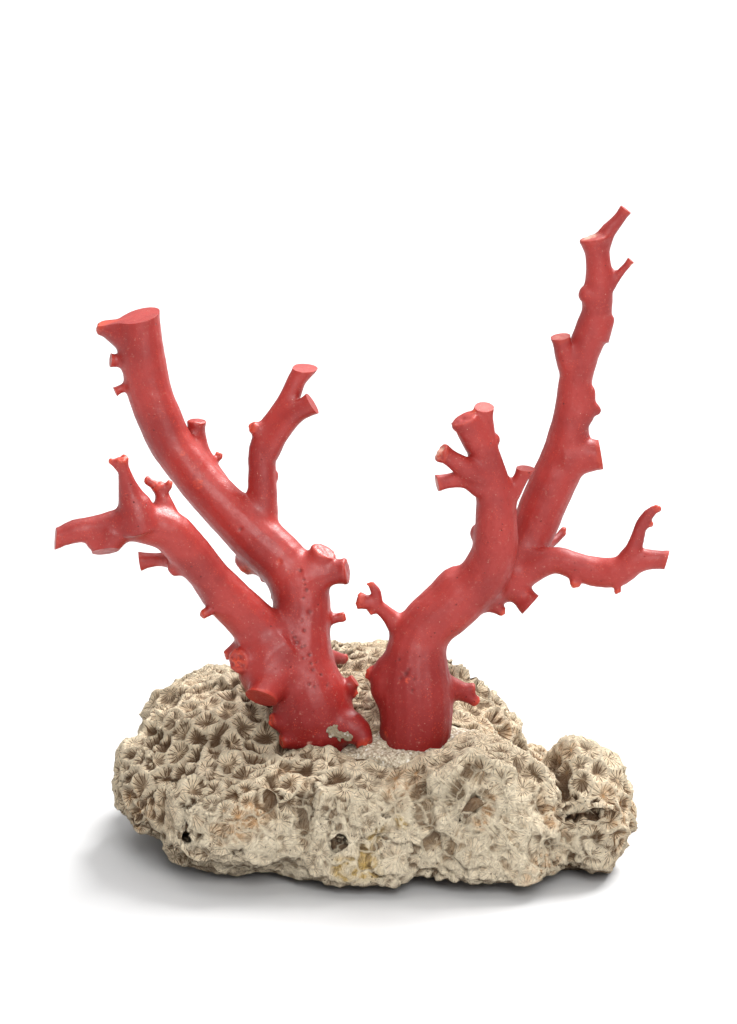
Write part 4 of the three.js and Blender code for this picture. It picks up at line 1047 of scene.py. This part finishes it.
def weather_stone(piece):
    """Carves the stone's skin: unevenness, cups, grit and a flat underside, and marks its stained places."""
    look = bpy.context.scene.stony_coral
    noise.seed_set(SEEDS["stone"])
    skin = Skin(piece.data)
    middles = spread_cups(skin, look.cup_gap)
    skin.smooth(8, (0.5,))
    firm = skin.lifted(5 * MM)[:, None]
    skin.at += firm * (look.swell * skin.outward() + skin.drift(9 * MM, 1.8 * MM) + skin.drift(3.4 * MM, 0.7 * MM))
    marks = find_areas(skin)
    outward = skin.outward()
    flat = skin.lifted(3 * MM)
    web = np.array([noise.ridged_multi_fractal(Vector(p) / look.web_width, 0.6, 2.1, 5, 1.0, 1.6) for p in skin.at])
    low, high = np.percentile(web, (2, 98))
    web = np.clip((web - low) / (high - low), 0, 1)
    lumps = 0.6 - 0.7 * skin.waves(look.lump_width, 3) - 0.4 * skin.waves(look.lump_width / 2.5, 4)
    winding = np.abs(skin.waves(15 * MM, 21) + 0.5 * skin.waves(5 * MM, 22))
    cracks = np.clip(1 - winding / 0.13, 0, 1) * np.clip(0.4 + 2 * skin.waves(30 * MM, 23), 0, 1)
    sink = look.lump * lumps + look.web * (1 - web) * (0.25 + 0.75 * marks["worn"]) + look.crack * cracks
    skin.at -= (sink * flat)[:, None] * outward
    rise, straight = np.zeros(len(skin.at)), skin.at
    skin.at = straight + skin.drift(5 * MM, 2 * MM)
    for height, width, points in STONE_LINES:
        rise += height * MM * skin.along(points, width) * (1 if height > 0 else 0.7)
    skin.at = straight + (rise * flat)[:, None] * outward
    spoke, depth, flow = carve_cups(skin, look, middles)
    shallow = (1 - 0.8 * marks["worn"]) * np.clip(0.85 + 1.1 * skin.waves(17 * MM, 14), 0.3, 1.1)
    shallow = shallow * (1 + 0.5 * marks["open"])
    feet = np.maximum(*(skin.near(middle, reach) for middle, reach in FEET))
    shallow *= 1 - 0.85 * np.minimum(1, 3 * feet)
    grit = skin.waves(1.8 * MM, 6) + 0.7 * skin.waves(3.6 * MM, 8)
    sink = (look.cup_depth * depth * shallow + look.grit * (1.2 - grit) * (0.5 + 0.7 * marks["worn"])) * flat
    skin.at -= sink[:, None] * (0.6 * flow + 0.4 * outward)
    dark = sink_holes(skin, flow)
    raise_lip(skin)
    low = skin.at[:, 2] < 0.5 * MM
    skin.at[low, 2] = 0
    skin.at[:, 1] = np.clip(skin.at[:, 1], CAD_BOX[0][1], CAD_BOX[1][1])
    skin.write()
    skin.paint("spoke", spoke, "FLOAT_VECTOR")
    skin.paint("fan", fan_out(skin, flow), "FLOAT_VECTOR")
    # How deep each corner lies in broad and in fine hollows, which the material darkens as painted shade with some
    # dirt.
    skin.paint("hollow", skin.hollowness(24))
    skin.paint("nook", skin.hollowness(5))
    skin.paint("ribbed", shallow)
    # Painted shade: the underside that faces the ground, the holes and the cracks are marked dark.
    under = np.clip(-1.6 * skin.outward()[:, 2] - 0.6, 0, 0.8)
    skin.paint("dark", np.maximum(np.maximum(dark, 0.5 * cracks), under))
    for kind, values in marks.items():
        skin.paint(kind, values)
    flatten_underside(piece.data)


def flatten_underside(mesh):
    """Makes the underside one face, so that its triangles are few."""
    bm = bmesh.new()
    bm.from_mesh(mesh)
    under = [f for f in bm.faces if all(v.co.z == 0 for v in f.verts)]
    edges = dict.fromkeys(e for f in under for e in f.edges)
    verts = dict.fromkeys(v for f in under for v in f.verts)
    bmesh.ops.dissolve_limit(bm, angle_limit=0.01, verts=list(verts), edges=list(edges))
    bm.to_mesh(mesh)
    bm.free()


def grain_cement(piece):
    """Makes a cement piece's skin granular and uneven."""
    look, seed = bpy.context.scene.cement, SEEDS["cement"]
    skin = Skin(piece.data)
    skin.smooth(6, (0.5,))
    outward = skin.outward()
    grain = skin.waves(look.grain_width, seed) + 0.8 * skin.waves(look.grain_width / 2, seed + 1)
    broad = skin.waves(8 * MM, seed + 2) + 0.7 * skin.waves(3.6 * MM, seed + 3)
    skin.at += (look.grain * grain + look.heap * (broad - 0.1))[:, None] * outward
    skin.at[:, :2] += look.spread * outward[:, :2]
    skin.write()


def spread_smear(name, coral):
    """A ragged crust of cement that hugs the foot: a copy of the coral's skin there, thickened."""
    look = bpy.context.scene.cement
    bm = bmesh.new()
    bm.from_mesh(coral.data)
    for layers in (bm.verts.layers.float, bm.verts.layers.float_vector):
        for layer in list(layers.values()):
            layers.remove(layer)

    def reach(vert):
        """Below 1 inside the smear's ragged outline."""
        ragged = 0.45 * noise.noise(vert.co / (2 * MM)) + 0.25 * noise.noise(vert.co / MM)
        return ragged + min((vert.co - Vector(middle) * MM).length / (radius * MM) for middle, radius in SMEAR)

    for margin, cuts in ((1.6, 1), (1.0, 0)):
        far = [v for v in bm.verts if reach(v) > margin]
        bmesh.ops.delete(bm, geom=far, context="VERTS")
        if cuts:
            bmesh.ops.subdivide_edges(bm, edges=bm.edges[:], cuts=cuts, use_grid_fill=True)
    loose = [v for v in bm.verts if not v.link_faces]
    bmesh.ops.delete(bm, geom=loose, context="VERTS")
    bmesh.ops.recalc_face_normals(bm, faces=bm.faces)
    bm.normal_update()
    if bm.faces[:][0].normal.y > 0:
        bmesh.ops.reverse_faces(bm, faces=bm.faces)
        bm.normal_update()
    for vert in bm.verts:
        grain = noise.noise(vert.co / look.grain_width) + 0.7 * noise.noise(vert.co / (0.4 * look.grain_width))
        vert.co += vert.normal * (0.5 * MM + 0.5 * look.grain * grain)
    bmesh.ops.solidify(bm, geom=bm.faces[:], thickness=0.8 * MM)
    for face in bm.faces:
        face.smooth = True
        face.material_index = 0
    return new_object(name, bm)


# The operators

class CORAL_OT_left(bpy.types.Operator):
    """Grow the left red coral, with its tall, slim and low branches"""
    bl_idname = "coral.left"
    bl_label = "Left red coral"

    def execute(self, context):
        grow_coral("left_coral", LEFT_CORAL, LEFT_MARKS, SEEDS["left coral"], 0,
                   "left_trunk", "left_tall_branch", "left_slim_branch", "left_low_branch")
        return {"FINISHED"}


class CORAL_OT_right(bpy.types.Operator):
    """Grow the right red coral, with its short, tall and side branches"""
    bl_idname = "coral.right"
    bl_label = "Right red coral"

    def execute(self, context):
        grow_coral("right_coral", RIGHT_CORAL, RIGHT_MARKS, SEEDS["right coral"], 0.1,
                   "right_trunk", "right_short_branch", "right_tall_branch", "right_side_branch")
        return {"FINISHED"}


class CORAL_OT_stone(bpy.types.Operator):
    """Carve the block of stony coral"""
    bl_idname = "coral.stone"
    bl_label = "Stony coral block"

    def execute(self, context):
        piece = copy_of_node("stone_block", "stony_block")
        reskin(piece, context.scene.stony_coral.skin)
        weather_stone(piece)
        settle(piece, "stony_coral", ["stone_block"], stony_coral_rock())
        return {"FINISHED"}


class CORAL_OT_cement(bpy.types.Operator):
    """Lay the cement round the feet"""
    bl_idname = "coral.cement"
    bl_label = "Cement bed"

    def execute(self, context):
        look = context.scene.cement
        bed = copy_of_node("cement_bed", "cement_round_foot")
        reskin(bed, look.skin)
        grain_cement(bed)
        settle(bed, "cement", ["cement_bed"], granular_cement("cement bed", look.grey))
        return {"FINISHED"}


class CORAL_OT_smear(bpy.types.Operator):
    """Spread the smear of cement on the left foot, which the left coral has to be there for"""
    bl_idname = "coral.smear"
    bl_label = "Cement smear"

    def execute(self, context):
        smear = spread_smear("cement_smear", bpy.data.objects["left_coral"])
        settle(smear, "cement", ["cement_patch"], granular_cement("cement smear", context.scene.cement.smear))
        return {"FINISHED"}


class CORAL_OT_studio(bpy.types.Operator):
    """Set up the floor, the lights and the camera"""
    bl_idname = "coral.studio"
    bl_label = "Studio"

    def execute(self, context):
        studio = context.scene.studio
        bm = bmesh.new()
        bmesh.ops.create_grid(bm, x_segments=1, y_segments=1, size=6)
        floor = new_object("floor", bm)
        paper = Recipe("studio paper")
        tone = paper.paint(studio.floor, (paper.grade(paper.clouds(0.4, 2), 0.3, 0.7, 0, 0.02), (1, 1, 1)))
        floor.data.materials.append(paper.finish(Base_Color=tone, Roughness=0.7))
        world = bpy.data.worlds.new("surround")
        world.use_nodes = True
        pale = world.node_tree.nodes["Background"].inputs
        pale["Color"].default_value, pale["Strength"].default_value = (1, 1, 1, 1), studio.sky
        context.scene.world = world
        for name, kind, power, size, at in (("key", "SUN", studio.key, studio.spread, (0.62, 0.75, 1.2)),
                                            ("front softbox", "AREA", studio.front, 0.8, (0.24, -1.1, 0.9)),
                                            ("top softbox", "AREA", studio.top, 1.6, (-0.1, 0.45, 1.5))):
            lamp = bpy.data.lights.new(name, kind)
            lamp.energy = power
            if kind == "SUN":
                lamp.angle = size
            else:
                lamp.size = size
            light = bpy.data.objects.new(name, lamp)
            context.scene.collection.objects.link(light)
            light.location = at
            light.rotation_euler = (Vector((0, 0, 0.1)) - light.location).to_track_quat("-Z", "Y").to_euler()
        lens = bpy.data.cameras.new("camera")
        lens.sensor_fit, lens.sensor_height, lens.sensor_width = "AUTO", 36, 36
        lens.lens = studio.lens
        camera = bpy.data.objects.new("camera", lens)
        context.scene.collection.objects.link(camera)
        away = Vector((0, -math.cos(studio.height), math.sin(studio.height))) * studio.distance
        camera.location = AIM + away
        camera.rotation_euler = (-away).to_track_quat("-Z", "Y").to_euler()
        context.scene.camera = camera
        context.scene.view_settings.view_transform = "Standard"
        return {"FINISHED"}


class VIEW3D_PT_coral(bpy.types.Panel):
    """Buttons and values of the coral"""
    bl_label = "Coral"
    bl_space_type = "VIEW_3D"
    bl_region_type = "UI"
    bl_category = "Coral"

    def draw(self, context):
        for operator in OPERATORS:
            self.layout.operator(operator.bl_idname)
        for name, group in SETTINGS.items():
            box = self.layout.box()
            box.label(text=group.__doc__)
            for key in group.__annotations__:
                box.prop(getattr(context.scene, name), key)


SETTINGS = {
    "red_coral": RedCoralSettings,
    "stony_coral": StonyCoralSettings,
    "cement": CementSettings,
    "studio": StudioSettings,
}
OPERATORS = (CORAL_OT_stone, CORAL_OT_cement, CORAL_OT_left, CORAL_OT_right, CORAL_OT_smear, CORAL_OT_studio)


def register():
    """Adds the settings, the operators and the panel to Blender."""
    for group in (*SETTINGS.values(), *OPERATORS, VIEW3D_PT_coral):
        bpy.utils.register_class(group)
    for name, group in SETTINGS.items():
        setattr(bpy.types.Scene, name, PointerProperty(type=group))


def unregister():
    """Takes them out again."""
    for name in SETTINGS:
        delattr(bpy.types.Scene, name)
    for group in reversed((*SETTINGS.values(), *OPERATORS, VIEW3D_PT_coral)):
        bpy.utils.unregister_class(group)


def main():
    """Builds the whole part and its studio."""
    register()
    bpy.ops.coral.stone()
    bpy.ops.coral.cement()
    bpy.ops.coral.left()
    bpy.ops.coral.right()
    bpy.ops.coral.smear()
    bpy.ops.coral.studio()
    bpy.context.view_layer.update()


if __name__ == "__main__":
    main()
